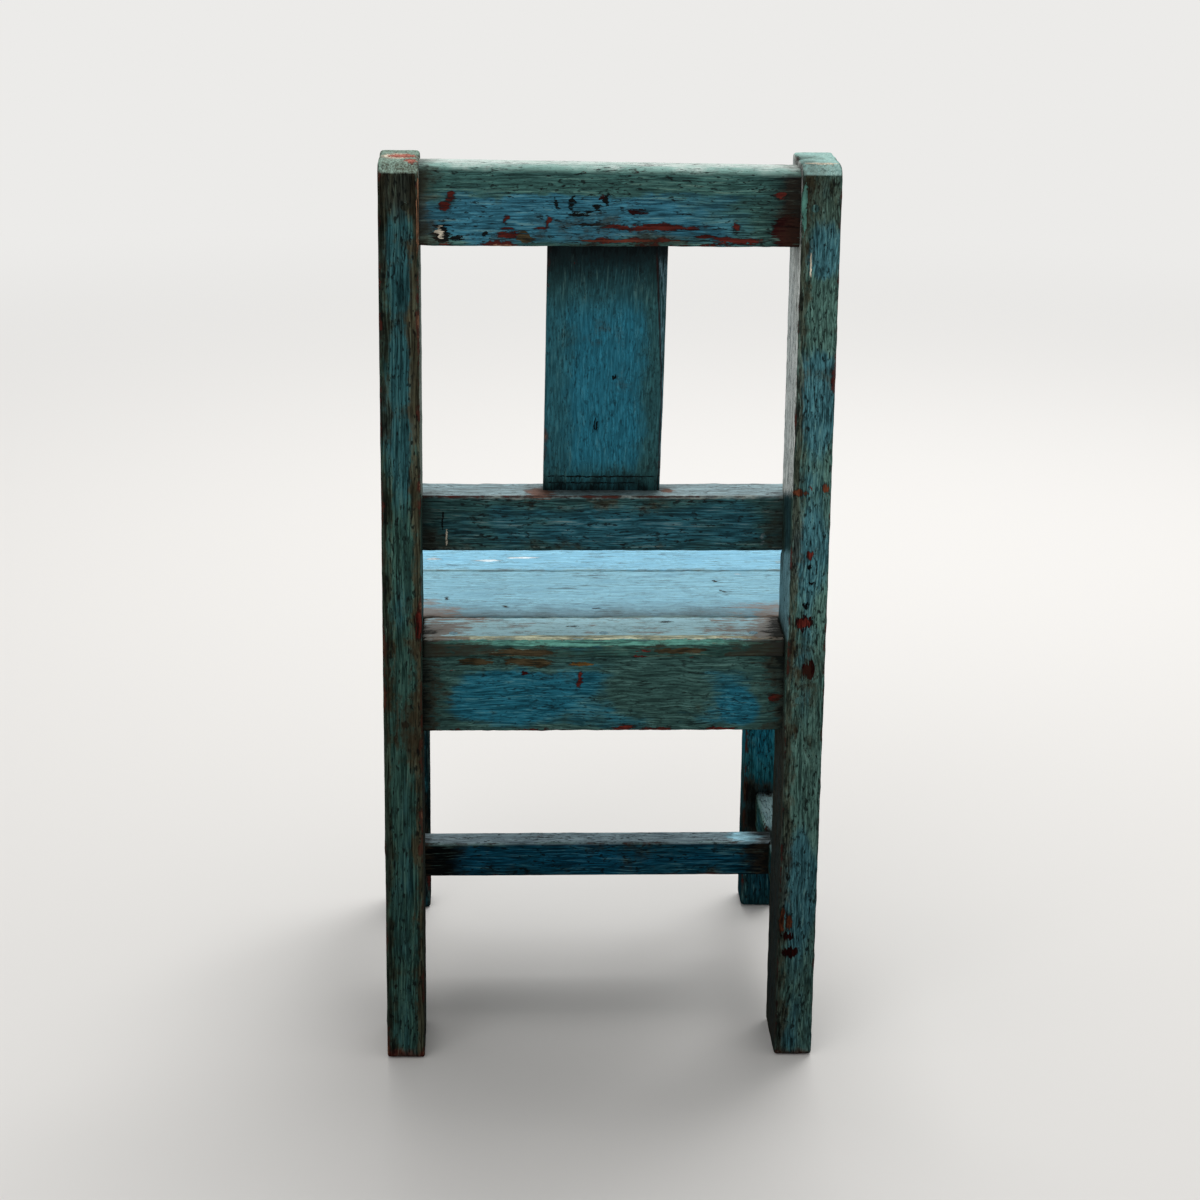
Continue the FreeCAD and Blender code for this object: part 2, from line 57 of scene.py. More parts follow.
# one output socket of a node, with arithmetic that adds Math nodes
class Wire:
    def __init__(self, tree, socket):
        self.tree = tree
        self.socket = socket

    def make(self, kind, settings, sockets, out=0):
        made = self.tree.nodes.new(kind)
        for key, value in settings.items():
            setattr(made, key, value)
        for key, value in sockets.items():
            if isinstance(value, Wire):
                self.tree.links.new(value.socket, made.inputs[key])
            else:
                made.inputs[key].default_value = value
        return Wire(self.tree, made.outputs[out])

    def maths(self, operation, first, second):
        return self.make("ShaderNodeMath", {"operation": operation}, {0: first, 1: second})

    def __add__(self, other):
        return self.maths("ADD", self, other)

    def __radd__(self, other):
        return self.maths("ADD", other, self)

    def __sub__(self, other):
        return self.maths("SUBTRACT", self, other)

    def __rsub__(self, other):
        return self.maths("SUBTRACT", other, self)

    def __mul__(self, other):
        return self.maths("MULTIPLY", self, other)

    def __rmul__(self, other):
        return self.maths("MULTIPLY", other, self)

    def most(self, other):
        return self.maths("MAXIMUM", self, other)

    def size(self):
        return self.make("ShaderNodeMath", {"operation": "ABSOLUTE"}, {0: self})

    # 0 to 1 as the value goes from low to high, or from high to low where low is the larger
    def ramp(self, low, high):
        settings = {"interpolation_type": "SMOOTHSTEP"}
        return self.make("ShaderNodeMapRange", settings, {0: self, 1: low, 2: high})

    def vector(self, operation, second):
        return self.make("ShaderNodeVectorMath", {"operation": operation}, {0: self, 1: second})

    def bright(self, amount):
        sockets = {"Vector": self, "Scale": amount}
        return self.make("ShaderNodeVectorMath", {"operation": "SCALE"}, sockets)

    def reach(self):
        return self.make("ShaderNodeVectorMath", {"operation": "LENGTH"}, {0: self}, 1)

    def noise(self, scale, detail, roughness, out=0):
        sockets = {"Vector": self, "Scale": scale, "Detail": detail, "Roughness": roughness}
        return self.make("ShaderNodeTexNoise", {"noise_dimensions": "3D"}, sockets, out)

    # noise and limits by their names in the tables of the paint
    def noiseOf(self, name, out=0):
        return self.noise(*paintNoise[name], out)

    def rampOf(self, name):
        return self.ramp(*paintLimits[name])

    # a colour between two, with this value as the share of the second
    def between(self, first, second):
        return self.make("ShaderNodeMix", {"data_type": "RGBA"}, {0: self, 6: first, 7: second}, 2)

    def mix(self, other, share):
        return share.between(self, other)

    def part(self, axis):
        return self.make("ShaderNodeSeparateXYZ", {}, {0: self}, axis)

    def relief(self):
        return self.make("ShaderNodeBump", {}, {"Strength": 1.0, "Distance": 1.0, "Height": self})

    def into(self, socket):
        self.tree.links.new(self.socket, socket)

    def measured(self, name):
        return self.make("ShaderNodeAttribute", {"attribute_name": name}, {}, 2)


def startWire(tree, kind, out):
    return Wire(tree, None).make(kind, {}, {}, out)


grainStretch = {"x": (0.05, 1, 1), "y": (1, 0.05, 1), "z": (1, 1, 0.08), "long": (1, 1, 0.035)}
flakeStretch = {"x": (0.35, 1, 1), "y": (1, 0.35, 1), "z": (1, 1, 0.35), "long": (1, 1, 0.3)}

scratchWidth = 0.0021  # marks narrower than this are scratches, not flakes
lineWidth = 0.0011  # marks narrower than this keep a straight edge
lineLength = 0.1  # and so do marks longer than this
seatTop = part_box("seat_board_middle")[1][2]
railLow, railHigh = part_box("lower_back_rail")
railUnder, railTop = railLow[2], railHigh[2]
shadeSlope = 0.283  # the painted shadow beside the lower rail climbs towards the rear

# the coats and the wear that painted members share, unless their own dictionaries say otherwise
paintCoats = {
    "blue": (36, 92, 112),
    "green": (46, 84, 80),
    "olive": (48, 46, 30),
    "pale": (122, 164, 156),
    # paler tops: faded paint and dust, together with painted light from above
    "faded": (138, 174, 180),
    "dusty": (104, 136, 142),
    # soot and dark grime, also laid on as painted shade and painted shadow
    "soot": (14, 17, 17),
    "grimeBrown": (44, 36, 26),
    "grimeTop": (44, 36, 26),
    "undercoat": (84, 35, 29),
    "maroon": (38, 13, 12),
    "timber": (150, 112, 86),
    "cream": (192, 184, 166),
    "pinkish": (146, 92, 80),
    "rust": (112, 58, 36),
    "ochre": (100, 74, 40),
    "bareBrown": (62, 54, 38),
    "facet": (112, 148, 162),
    # a post's inner face: pale painted reflection, lighter teal painted reflection of the seat, and
    # painted shade under the seat; the pale also marks real scratches on the seat
    "innerPale": (158, 166, 162),
    "innerUnderSeatShade": (64, 57, 50),
    "seatReflectionTeal": (118, 160, 170),
    "mint": (88, 144, 132),
    "otherSide": (58, 88, 86),
    "greyed": (122, 146, 146),
}
paintLook = {
    "glaze": 0.0,
    "stain": 0.7,
    "streak": 1.0,
    "blotch": 0.55,
    "grainLine": 0.6,
    "paleStreak": 0.3,
    "hairline": 0.8,
    "speck": 0.85,
    "fade": 0.75,
    "rub": 0.5,
    "bare": 0.9,
    "grime": 0.85,
    "lowDirtAndShade": 0.75,
    "lean": 0.0,
    "gloss": 0.5,
    "sheen": 0.0,
    "grimeReach": 1.0,
    "cleanTop": 0.0,
    "bend": 0.006,
    "bareReach": 0.0,
    "bareSpread": 1.0,
    "bareLevels": (-1.0, -0.9),
    "fadeAndLightFrom": (0.12, 0.8),
    "facetHighlightShare": 0.0,
    "greyFrom": (9, 10),
    "innerPaintedLight": (1, 0.0),
    "zones": (),
    "bands": (),
    "chips": (),
}

# noise in the paint: scale, detail and roughness
paintNoise = {
    "bend": (16, 2, 0.5),
    "fine": (900, 4, 0.62),
    "broad": (240, 4, 0.65),
    "split": (300, 2, 0.5),
    "grainLine": (620, 4, 0.66),
    "drift": (17, 4, 0.6),
    "stain": (38, 6, 0.68),
    "mottle": (120, 6, 0.74),
    "speck": (560, 3, 0.6),
    "shake": (240, 6, 0.75),
    "flake": (58, 6, 0.7),
}

# where each kind of wear starts and where it is full
paintLimits = {
    "nearArris": (14, 0),  # mm from the arris
    "nearJoint": (34, 2),  # mm from the joint
    "turnedIn": (0.6, 0.95),
    "zone": (1.2, 0.5),
    "glaze": (1.15, 1.65),
    "stain": (0.55, 0.72),
    "stainGaps": (0.38, 0.58),
    "lines": (0.41, 0.59),
    "blotch": (0.34, 0.66),
    "paleStreak": (0.86, 1.06),
    "underSeat": (0.27, 0.23),
    "cutTurn": (0.1, 0.5),
    "cutStart": (0.3, 0.46),
    "cutEnd": (0.92, 0.75),
    "grainLine": (0.035, 0.004),
    "grainGaps": (0.36, 0.56),
    "split": (0.022, 0.004),
    "splitGaps": (0.44, 0.58),
    "speck": (0.77, 0.86),
    "rub": (2.4, 0.4),
    "rubFacing": (-0.2, 0.4),
    "maroon": (1.2, 0.0),
    "undercoat": (0.2, -0.5),
    "timber": (-2.0, -2.8),
    "flake": (0.70, 0.715),
    "deepFlake": (0.725, 0.74),
    "chip": (1.04, 0.9),
    "chipGaps": (0.36, 0.45),
    "chipRim": (1.34, 1.1),
    "dirt": (5, -1),
    "brown": (13, 7),
    "settled": (0.3, 0.8),
    "lowDirtAndShade": (0.03, 0.4),
}

# how much of each noise goes into a kind of wear
paintShares = {
    "glaze": (1.3, 0.6, 0.7, 0.3, 0.3),  # drift, broad, mottle, near an arris, near a joint
    "stain": (1, 0.05, 0.1),  # stain, near an arris, near a joint
    "lines": (0.78, 0.22),  # fine, broad
    "bandEdge": (0.02, 0.012),  # stain, broad
    "paleStreak": (1, 0.6),  # fine, broad
    "dust": (0.7, 0.5),  # lines, blotch
    "climb": (0.014, 0.003),  # stain, lines
    "speck": (1, 0.4),  # speck, mottle
    "rub": (9, 6),  # mottle, broad
    "bare": (20, 12),  # stain, mottle
    "ruffle": (1.1, 0.9),  # broad, fine
    "flake": (1, 0.02, 0.05),  # flake, near an arris, ruffle
    "chipGaps": (0.6, 0.4),  # fine, mottle
    "lost": (0.9, 0.9),  # lines, blotch
    "smear": (40, 14, 30),  # mottle, lines with broad, stain
    "rough": (0.3, 0.2, 0.2),  # mottle, lost, dirt
    "relief": (0.00014, 0.0002, 0.00025, -0.0003),  # fine, broad, mottle, lost
}

# coats that cover in streaks: how far on the whole, and how much more or less in the lines
streakCover = {
    "innerPale": (0.75, 0.8),
    "seatReflectionTeal": (0.8, 0.4),
    "innerUnderSeatShade": (0.75, 0.7),
    "facet": (0.45, 1.3),
}
halfway = 0.5  # noise and ramps swing about this value
darkest = 0.15  # no streak is darker than this share of its coat
raggedEdge = 0.012
straightEdge = 0.004
greyWander = 0.06
innerEdge = 0.004  # how softly the fields on a post's inner face end
railShadowShare = 0.7  # the painted shadow beside the lower rail
cutLine = 3.4  # the dark line along the splat's cut arris
crackScale = 620
crackShare = 0.6
chipRuffle = 1.4
rimShare = 0.6
brownSmear = 1.2
brownShare = 0.75


def weighted(name, *noises):
    shares = paintShares[name]
    total = noises[0] * shares[0]
    for noise, share in zip(noises[1:], shares[1:]):
        total = total + noise * share
    return total


def streaked(name, lines):
    whole, swing = streakCover[name]
    return whole + lines * swing


def newMaterial(name, sheen):
    material = bpy.data.materials.new(name)
    material.use_nodes = True
    shader = material.node_tree.nodes["Principled BSDF"]
    shader.inputs["Specular IOR Level"].default_value = sheen
    return material, material.node_tree, shader


def wornPaint(name, own):
    look = {**paintCoats, **paintLook, **own}
    material, tree, shader = newMaterial(name, look["sheen"])
    place = startWire(tree, "ShaderNodeTexCoord", "Object")
    facing = startWire(tree, "ShaderNodeNewGeometry", "Normal")
    upward = facing.part(2)
    sideways = facing.part(0)
    level = place.part(2)
    depth = place.part(1)
    if look["lean"]:
        turned = {"Vector": place, "Angle": look["lean"]}
        place = place.make("ShaderNodeVectorRotate", {"rotation_type": "X_AXIS"}, turned)
    shade = {coat: tone(*look[coat]) for coat in paintCoats}
    wander = place.noiseOf("bend", 1).vector("SUBTRACT", (halfway,) * 3)
    bent = place.vector("ADD", wander.bright(look["bend"]))
    along = bent.vector("MULTIPLY", grainStretch[look["grain"]])
    short = place.vector("MULTIPLY", flakeStretch[look["grain"]])
    arris = place.measured("arrisDistance")
    joint = place.measured("jointDistance")

    # brush lines, broad streaks, hand-sized drifts, mottling, specks and splits
    fine = along.noiseOf("fine")
    broad = along.noiseOf("broad")
    split = (along.noiseOf("split") - halfway).size()
    grainLine = (along.noiseOf("grainLine") - halfway).size()
    drift = place.noiseOf("drift")
    stain = place.noiseOf("stain")
    mottle = short.noiseOf("mottle")
    speck = short.noiseOf("speck")
    shaken = short.noiseOf("shake", 1).vector("SUBTRACT", (halfway,) * 3)
    ragged = place.vector("ADD", shaken.bright(raggedEdge))
    straight = place.vector("ADD", shaken.bright(straightEdge))
    fineSwing = fine - halfway
    broadSwing = broad - halfway
    stainSwing = stain - halfway
    mottleSwing = mottle - halfway
    nearArris = arris.rampOf("nearArris")
    nearJoint = joint.rampOf("nearJoint")
    inner, innerShare = look["innerPaintedLight"]
    turnedIn = (sideways * inner).rampOf("turnedIn") * innerShare

    # blue paint keeps clean in the middle of a face and turns green with varnish towards its edges
    glaze = weighted("glaze", drift, broad, mottle, nearArris, nearJoint) + look["glaze"]
    for push, centre, radii in look["zones"]:
        scaled = ragged.vector("SUBTRACT", centre).vector("DIVIDE", radii).reach()
        glaze = glaze + scaled.rampOf("zone") * push
    colour = glaze.rampOf("glaze").between(shade["blue"], shade["green"])
    darkStain = weighted("stain", stain, nearArris, nearJoint).rampOf("stain") * look["stain"]
    colour = colour.mix(shade["olive"], darkStain * mottle.rampOf("stainGaps"))
    lines = weighted("lines", fine, broad).rampOf("lines") - halfway
    blotch = mottle.rampOf("blotch") - halfway
    bandEdge = weighted("bandEdge", stainSwing, broadSwing)
    turnedOut = 1 - turnedIn
    for coat, axis, start, full, share in look["bands"]:
        side = 1 if full > start else -1
        covered = (ragged.part(axis) + bandEdge * side).ramp(start, full)
        colour = colour.mix(shade[coat], covered * turnedOut * share)
    streaks = 1 + lines * look["streak"] + blotch * look["blotch"]
    colour = colour.bright(streaks.most(darkest))
    paleStreak = weighted("paleStreak", fine, broad).rampOf("paleStreak")
    colour = colour.mix(shade["pale"], paleStreak * look["paleStreak"])

    # tops are bleached and dusty, and also painted paler as painted light from above
    bleachedAndLit = upward.ramp(*look["fadeAndLightFrom"]) * look["fade"]
    dustedAndLit = (halfway + weighted("dust", lines, blotch)).between(shade["dusty"], shade["faded"])
    backward = depth + stainSwing * greyWander
    dustedAndLit = dustedAndLit.mix(shade["greyed"], backward.ramp(*look["greyFrom"]))
    colour = colour.mix(dustedAndLit, bleachedAndLit)

    # the inner face of a post is painted with light and shade: a pale painted reflection over the lower
    # rail, a painted shadow beside it, a lighter teal painted reflection of the seat over the seat, and
    # painted shade under it
    if innerShare:
        climbed = level - (depth - railHigh[1]) * shadeSlope + weighted("climb", stainSwing, lines)
        overRail = climbed.ramp(railTop - innerEdge, railTop + innerEdge)
        overSeat = climbed.ramp(railUnder + innerEdge / 2, railUnder - innerEdge / 2)
        railShadow = (1 - overSeat) * (1 - overRail)
        overSeat = overSeat * level.ramp(seatTop - innerEdge / 2, seatTop + innerEdge)
        underSeat = level.rampOf("underSeat")
        colour = colour.mix(shade["innerPale"], turnedIn * overRail * streaked("innerPale", lines))
        colour = colour.mix(shade["seatReflectionTeal"], turnedIn * overSeat * streaked("seatReflectionTeal", lines))
        colour = colour.mix(shade["soot"], turnedIn * railShadow * railShadowShare)
        colour = colour.mix(shade["innerUnderSeatShade"], turnedIn * underSeat * streaked("innerUnderSeatShade", lines))

    # the cut arris of the splat: its facet is painted a lighter blue-grey, a painted highlight, with a
    # maroon line along the arris
    if look["facetHighlightShare"]:
        rightward = sideways * -1
        turned = rightward.rampOf("cutTurn")
        cutFace = rightward.rampOf("cutStart") * rightward.rampOf("cutEnd")
        colour = colour.mix(shade["facet"], cutFace * streaked("facet", lines) * look["facetHighlightShare"])
        colour = colour.mix(shade["maroon"], turned * (1 - turned) * cutLine)

    # dark grain lines, splits and specks, fewer on a clean top
    kept = 1 - bleachedAndLit * look["cleanTop"]
    drawn = grainLine.rampOf("grainLine") * mottle.rampOf("grainGaps")
    colour = colour.mix(shade["soot"], drawn * look["grainLine"] * kept)
    cracked = split.rampOf("split") * mottle.rampOf("splitGaps")
    colour = colour.mix(shade["soot"], cracked * look["hairline"] * kept)
    specked = weighted("speck", speck, mottle).rampOf("speck")
    colour = colour.mix(shade["soot"], specked * look["speck"] * kept)

    # arrises rub pale first, then through to the undercoat and the timber
    worn = arris - weighted("rub", mottleSwing, broadSwing)
    rubbed = worn.rampOf("rub") * upward.rampOf("rubFacing")
    colour = colour.mix(shade["pale"], rubbed * look["rub"])
    uneven = weighted("bare", stainSwing, mottleSwing)
    through = arris - uneven * look["bareSpread"] - look["bareReach"]
    bared = level.ramp(*look["bareLevels"]) * look["bare"]
    for coat in ("maroon", "undercoat", "timber"):
        colour = colour.mix(shade[coat], through.rampOf(coat) * bared)

    # flakes lost from the faces, along the grain
    ruffle = weighted("ruffle", broadSwing, fineSwing)
    flake = weighted("flake", short.noiseOf("flake"), nearArris, ruffle)
    lost = flake.rampOf("flake")
    colour = colour.mix(shade["undercoat"], lost)
    colour = colour.mix(shade["maroon"], flake.rampOf("deepFlake"))

    # listed marks: flakes break along cracks, scratches and long lines don't
    cells = {"Vector": short, "Scale": crackScale}
    cracks = short.make("ShaderNodeTexVoronoi", {}, cells, "Position")
    cracks = cracks.vector("DIVIDE", flakeStretch[look["grain"]])
    torn = ragged.bright(1 - crackShare).vector("ADD", cracks.bright(crackShare))
    chipGaps = weighted("chipGaps", fine, mottle).rampOf("chipGaps")
    for coat, centre, radii in look["chips"]:
        edge = torn
        if min(radii) < scratchWidth:
            edge = ragged
        if min(radii) < lineWidth or max(radii) > lineLength:
            edge = straight
        spread = edge.vector("SUBTRACT", centre).vector("DIVIDE", radii).reach() + ruffle * chipRuffle
        mark = spread.rampOf("chip") * chipGaps
        if coat in ("undercoat", "rust"):
            colour = colour.mix(shade["soot"], spread.rampOf("chipRim") * rimShare)
        colour = colour.mix(shade[coat], mark)
        lost = lost.most(mark)
    colour = colour.bright(1 + lost * weighted("lost", lines, blotch))

    # grime settles along the joints, and towards the floor the colour darkens, as dirt and as painted
    # shade
    smear = weighted("smear", mottleSwing, lines * halfway + broadSwing, stainSwing)
    close = joint * (1 / look["grimeReach"])
    dirt = (joint - smear).rampOf("dirt") * look["grime"]
    brown = (close - smear * brownSmear).rampOf("brown") * look["grime"] * brownShare
    settled = upward.rampOf("settled").between(shade["grimeBrown"], shade["grimeTop"])
    colour = colour.mix(settled, brown)
    colour = colour.mix(shade["soot"], dirt)
    # darker towards the floor: dirt and painted shade
    lit = level.rampOf("lowDirtAndShade") * (1 - look["lowDirtAndShade"])
    colour = colour.bright(look["lowDirtAndShade"] + lit)

    colour.into(shader.inputs["Base Color"])
    rough = look["gloss"] + weighted("rough", mottleSwing, lost, dirt)
    rough.into(shader.inputs["Roughness"])
    height = weighted("relief", fine, broad, mottle, lost)
    height.relief().into(shader.inputs["Normal"])
    return material


sharpAngle = math.radians(50)
arrisSegments = 3
wearGroup = "arrisWear"
wearSteps = 8
millimetres = 1000
farFromArris = 40  # mm
farFromJoint = 0.06
outOfReach = 1.0
edgeSlack = 0.0015


# modelling steps that every member goes through
def startBlock(name, low, high):
    bpy.ops.object.select_all(action="DESELECT")
    bpy.ops.mesh.primitive_cube_add(size=1, location=(Vector(low) + Vector(high)) / 2)
    piece = bpy.context.object
    piece.name = name
    piece.data.name = name
    piece.scale = Vector(high) - Vector(low)
    bpy.ops.object.transform_apply(location=True, rotation=True, scale=True)
    return piece


def roundEdges(piece, width, segments, test):
    bpy.ops.object.mode_set(mode="EDIT")
    bpy.ops.mesh.select_mode(type="EDGE")
    bpy.ops.mesh.select_all(action="DESELECT")
    shape = bmesh.from_edit_mesh(piece.data)
    for edge in shape.edges:
        edge.select_set(test((edge.verts[0].co + edge.verts[1].co) / 2))
    bmesh.update_edit_mesh(piece.data)
    bpy.ops.mesh.bevel(offset=width, segments=segments, affect="EDGES")
    bpy.ops.object.mode_set(mode="OBJECT")


def softenArrises(piece, width):
    bpy.ops.object.mode_set(mode="EDIT")
    bpy.ops.mesh.select_mode(type="EDGE")
    bpy.ops.mesh.select_all(action="DESELECT")
    bpy.ops.mesh.edges_select_sharp(sharpness=sharpAngle)
    bpy.ops.mesh.bevel(offset=width, segments=arrisSegments, affect="EDGES")
    bpy.ops.object.mode_set(mode="OBJECT")


def finishWith(piece, kind, settings):
    bpy.context.view_layer.objects.active = piece
    modifier = piece.modifiers.new(kind.title(), kind)
    for key, value in settings.items():
        setattr(modifier, key, value)
    bpy.ops.object.modifier_apply(modifier=modifier.name)


def cutNotch(piece, low, high):
    cutter = startBlock("notchCutter", low, high)
    bpy.ops.object.select_all(action="DESELECT")
    piece.select_set(True)
    finishWith(piece, "BOOLEAN", {"object": cutter, "operation": "DIFFERENCE", "solver": "EXACT"})
    bpy.data.objects.remove(cutter)


def cloudTexture(name, size, depth, contrast, intensity):
    texture = bpy.data.textures.new(name, "CLOUDS")
    texture.noise_scale = size
    texture.noise_depth = depth
    texture.contrast = contrast
    texture.intensity = intensity
    return texture


waveTexture = cloudTexture("planedWaves", size=0.045, depth=2, contrast=1.0, intensity=1.0)
nickTexture = cloudTexture("arrisNicks", size=0.014, depth=3, contrast=2.6, intensity=1.35)


def vertexPlaces(piece):
    places = np.zeros(len(piece.data.vertices) * 3, np.float32)
    piece.data.vertices.foreach_get("co", places)
    return places.reshape(-1, 3)


def keepMeasure(piece, name, values):
    measure = piece.data.attributes.new(name, "FLOAT", "POINT")
    measure.data.foreach_set("value", values.astype(np.float32))


def wearSurface(piece, low, high, wear):
    voxels = {"mode": "VOXEL", "voxel_size": wear["mesh"], "use_smooth_shade": True}
    finishWith(piece, "REMESH", voxels)
    places = vertexPlaces(piece)
    gaps = np.minimum(places - np.array(low), np.array(high) - places)
    for axis in wear["hiddenEnds"]:
        gaps[:, "xyz".index(axis)] = outOfReach
    # an arris is where the second nearest face of the block is near
    arris = np.clip(np.sort(gaps, axis=1)[:, 1] * millimetres, 0, farFromArris)
    group = piece.vertex_groups.new(name=wearGroup)
    level = np.rint(np.clip(1 - arris / wear["arrisBand"], 0, 1) * wearSteps).astype(int)
    for step in range(1, wearSteps + 1):
        group.add(np.flatnonzero(level == step).tolist(), step / wearSteps, "REPLACE")
    sunken = {"texture_coords": "LOCAL", "direction": "NORMAL", "mid_level": 1.0}
    finishWith(piece, "DISPLACE", {**sunken, "texture": waveTexture, "strength": wear["wave"]})
    nicked = {"texture": nickTexture, "strength": wear["nick"], "vertex_group": wearGroup}
    finishWith(piece, "DISPLACE", {**sunken, **nicked})
    keepMeasure(piece, "arrisDistance", arris)


def measureJoints(piece, contacts):
    places = vertexPlaces(piece)
    nearest = np.full(len(places), farFromJoint)
    for contact in contacts:
        low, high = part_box(contact) if isinstance(contact, str) else contact
        away = np.maximum(np.maximum(np.array(low) - places, places - np.array(high)), 0)
        nearest = np.minimum(nearest, np.linalg.norm(away, axis=1))
    keepMeasure(piece, "jointDistance", nearest * millimetres)


def settle(piece, node, material):
    bpy.ops.object.select_all(action="DESELECT")
    piece.select_set(True)
    bpy.context.view_layer.objects.active = piece
    bpy.ops.object.shade_smooth()
    piece.data.materials.clear()
    piece.data.materials.append(material)
    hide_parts(node)
    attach(piece, "root")
    print("made", piece.name, len(piece.data.polygons), "faces")


def trimmedBox(node, trim):
    low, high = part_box(node)
    return Vector(low) + Vector(trim), Vector(high) - Vector(trim)


# the top slants a little down towards the chair's right
def dropRightTop(piece, low, high, drop):
    bpy.ops.object.mode_set(mode="EDIT")
    bpy.ops.mesh.select_mode(type="VERT")
    bpy.ops.mesh.select_all(action="DESELECT")
    shape = bmesh.from_edit_mesh(piece.data)
    centre = (low + high) / 2
    for vertex in shape.verts:
        vertex.select_set(vertex.co.x < centre.x and vertex.co.z > centre.z)
    bmesh.update_edit_mesh(piece.data)
    bpy.ops.transform.translate(value=(0, 0, -drop))
    bpy.ops.object.mode_set(mode="OBJECT")


# back_post_left becomes backPostLeft
def pieceName(node):
    first, *rest = node.split("_")
    return first + "".join(part.title() for part in rest)


def makeMember(own):
    settings = {**plainMember, **own}
    low, high = trimmedBox(settings["node"], settings["trim"])
    piece = startBlock(pieceName(settings["node"]), low, high)
    if settings["rightDrop"]:
        dropRightTop(piece, low, high, settings["rightDrop"])
    for width, segments, axis, side in settings["rounds"]:
        roundEdges(piece, width, segments, edgeAt(low, high, axis, side))
    softenArrises(piece, settings["arris"])
    for notchLow, notchHigh in settings["notches"]:
        cutNotch(piece, notchLow, notchHigh)
    bpy.ops.object.select_all(action="DESELECT")
    piece.select_set(True)
    wearSurface(piece, low, high, settings["wear"])
    measureJoints(piece, settings["contacts"])
    paint = wornPaint(piece.name + "Paint", settings["look"])
    settle(piece, settings["node"], paint)


# an edge that runs along one axis at the named sides of the block, such as rear and top
def edgeAt(low, high, axis, sides):
    planes = {"rear": (1, high[1]), "front": (1, low[1]), "top": (2, high[2]), "bottom": (2, low[2])}
    run = "xyz".index(axis)
    centre = (low[run] + high[run]) / 2

    def test(middle):
        onSides = all(abs(middle[planes[side][0]] - planes[side][1]) < edgeSlack for side in sides)
        return onSides and abs(middle[run] - centre) < edgeSlack

    return test


roughSawn = {"mesh": 0.0016, "wave": 0.0004, "nick": 0.0007, "arrisBand": 4, "hiddenEnds": "x"}
openEnds = {**roughSawn, "hiddenEnds": ""}
plainMember = {"trim": (0, 0, 0), "rounds": (), "rightDrop": 0, "notches": (), "wear": roughSawn}
posts = ("back_post_left", "back_post_right")
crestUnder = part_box("crest_rail")[0][2]
splatRun = 0.0565  # how far the splat leans back from rail to rail
splatLean = math.atan2(splatRun, crestUnder - railTop)
splatHalf = 0.039
splatSeam = 0.004
splatFoot = ((-splatHalf, 0.070, railTop), (splatHalf, 0.080, railTop + splatSeam))
splatHead = ((-splatHalf, 0.127, crestUnder - splatSeam), (splatHalf, 0.136, crestUnder))
crestBody = ((-0.119, 0.113, 0.557), (0.119, 0.145, 0.608))  # the crest rail without its tenons
soiledCorner = ((-0.119, 0.0888, 0.283), (-0.114, 0.134, 0.297))
chipDepth = 0.004
zoneDepth = 0.03
seatChipDepth = 0.003


# marks on an upright face: coat or push, place across and up, half the width and the height
def onFace(depth, thick, *marks):
    return tuple((kind, (x, depth, z), (wide, thick, tall)) for kind, x, z, wide, tall in marks)


# marks on the seat's top: coat, place across and from front to rear, half the width and the depth
def onSeat(*marks):
    thick = seatChipDepth
    return tuple((coat, (x, y, seatTop), (wide, deep, thick)) for coat, x, y, wide, deep in marks)


postShape = {
    "slot": "post_paint",
    "rounds": ((0.0068, 1, "x", ("rear", "top")), (0.004, 3, "x", ("rear", "bottom"))),
    "arris": 0.0014,
    "notches": (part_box("lower_back_rail"),),
    "wear": openEnds,
}

# back posts
leftPost = {
    "node": "back_post_left",
    **postShape,
    "contacts": ("lower_back_rail", "seat_board_rear", "rear_seat_rail", "side_seat_rail_left"),
    "look": {
        "grain": "long", "blue": (42, 80, 84), "green": (46, 74, 67), "glaze": 0.1,
        "pale": (104, 132, 116), "faded": (156, 184, 170), "dusty": (92, 98, 86), "streak": 1.05,
        "cleanTop": 0.2, "rub": 0.35, "lowDirtAndShade": 0.65, "fade": 0.97, "fadeAndLightFrom": (0.4, 0.68),
        # the inner face carries a painted reflection, a painted shadow and painted shade
        "bend": 0.005, "innerPaintedLight": (-1, 0.8), "innerPale": (138, 146, 138),
        "seatReflectionTeal": (80, 110, 112), "bare": 0.4,
        "bands": (
            ("bareBrown", 0, 0.1265, 0.1225, 0.8), ("olive", 0, 0.1375, 0.1415, 0.7),
            ("soot", 0, 0.1395, 0.1435, 0.65),
            ("bareBrown", 2, 0.570, 0.588, 0.7), ("soot", 2, 0.572, 0.588, 0.55),
            ("undercoat", 2, 0.007, 0.001, 0.6),
        ),
        "zones": onFace(0.148, zoneDepth,
            (-0.45, 0.1325, 0.545, 0.011, 0.04),
            (-0.45, 0.1325, 0.45, 0.011, 0.06),
        ),
        "chips": (
            ("undercoat", (0.1212, 0.148, 0.3105), (0.002, 0.004, 0.010)),
            ("timber", (0.1198, 0.146, 0.5780), (0.0010, 0.006, 0.0250)),
            ("cream", (0.1330, 0.116, 0.6095), (0.0110, 0.012, 0.004)),
            ("pinkish", (0.1300, 0.116, 0.6095), (0.0100, 0.009, 0.004)),
            ("pinkish", (0.1245, 0.135, 0.6095), (0.0042, 0.008, 0.004)),
        ),
    },
}
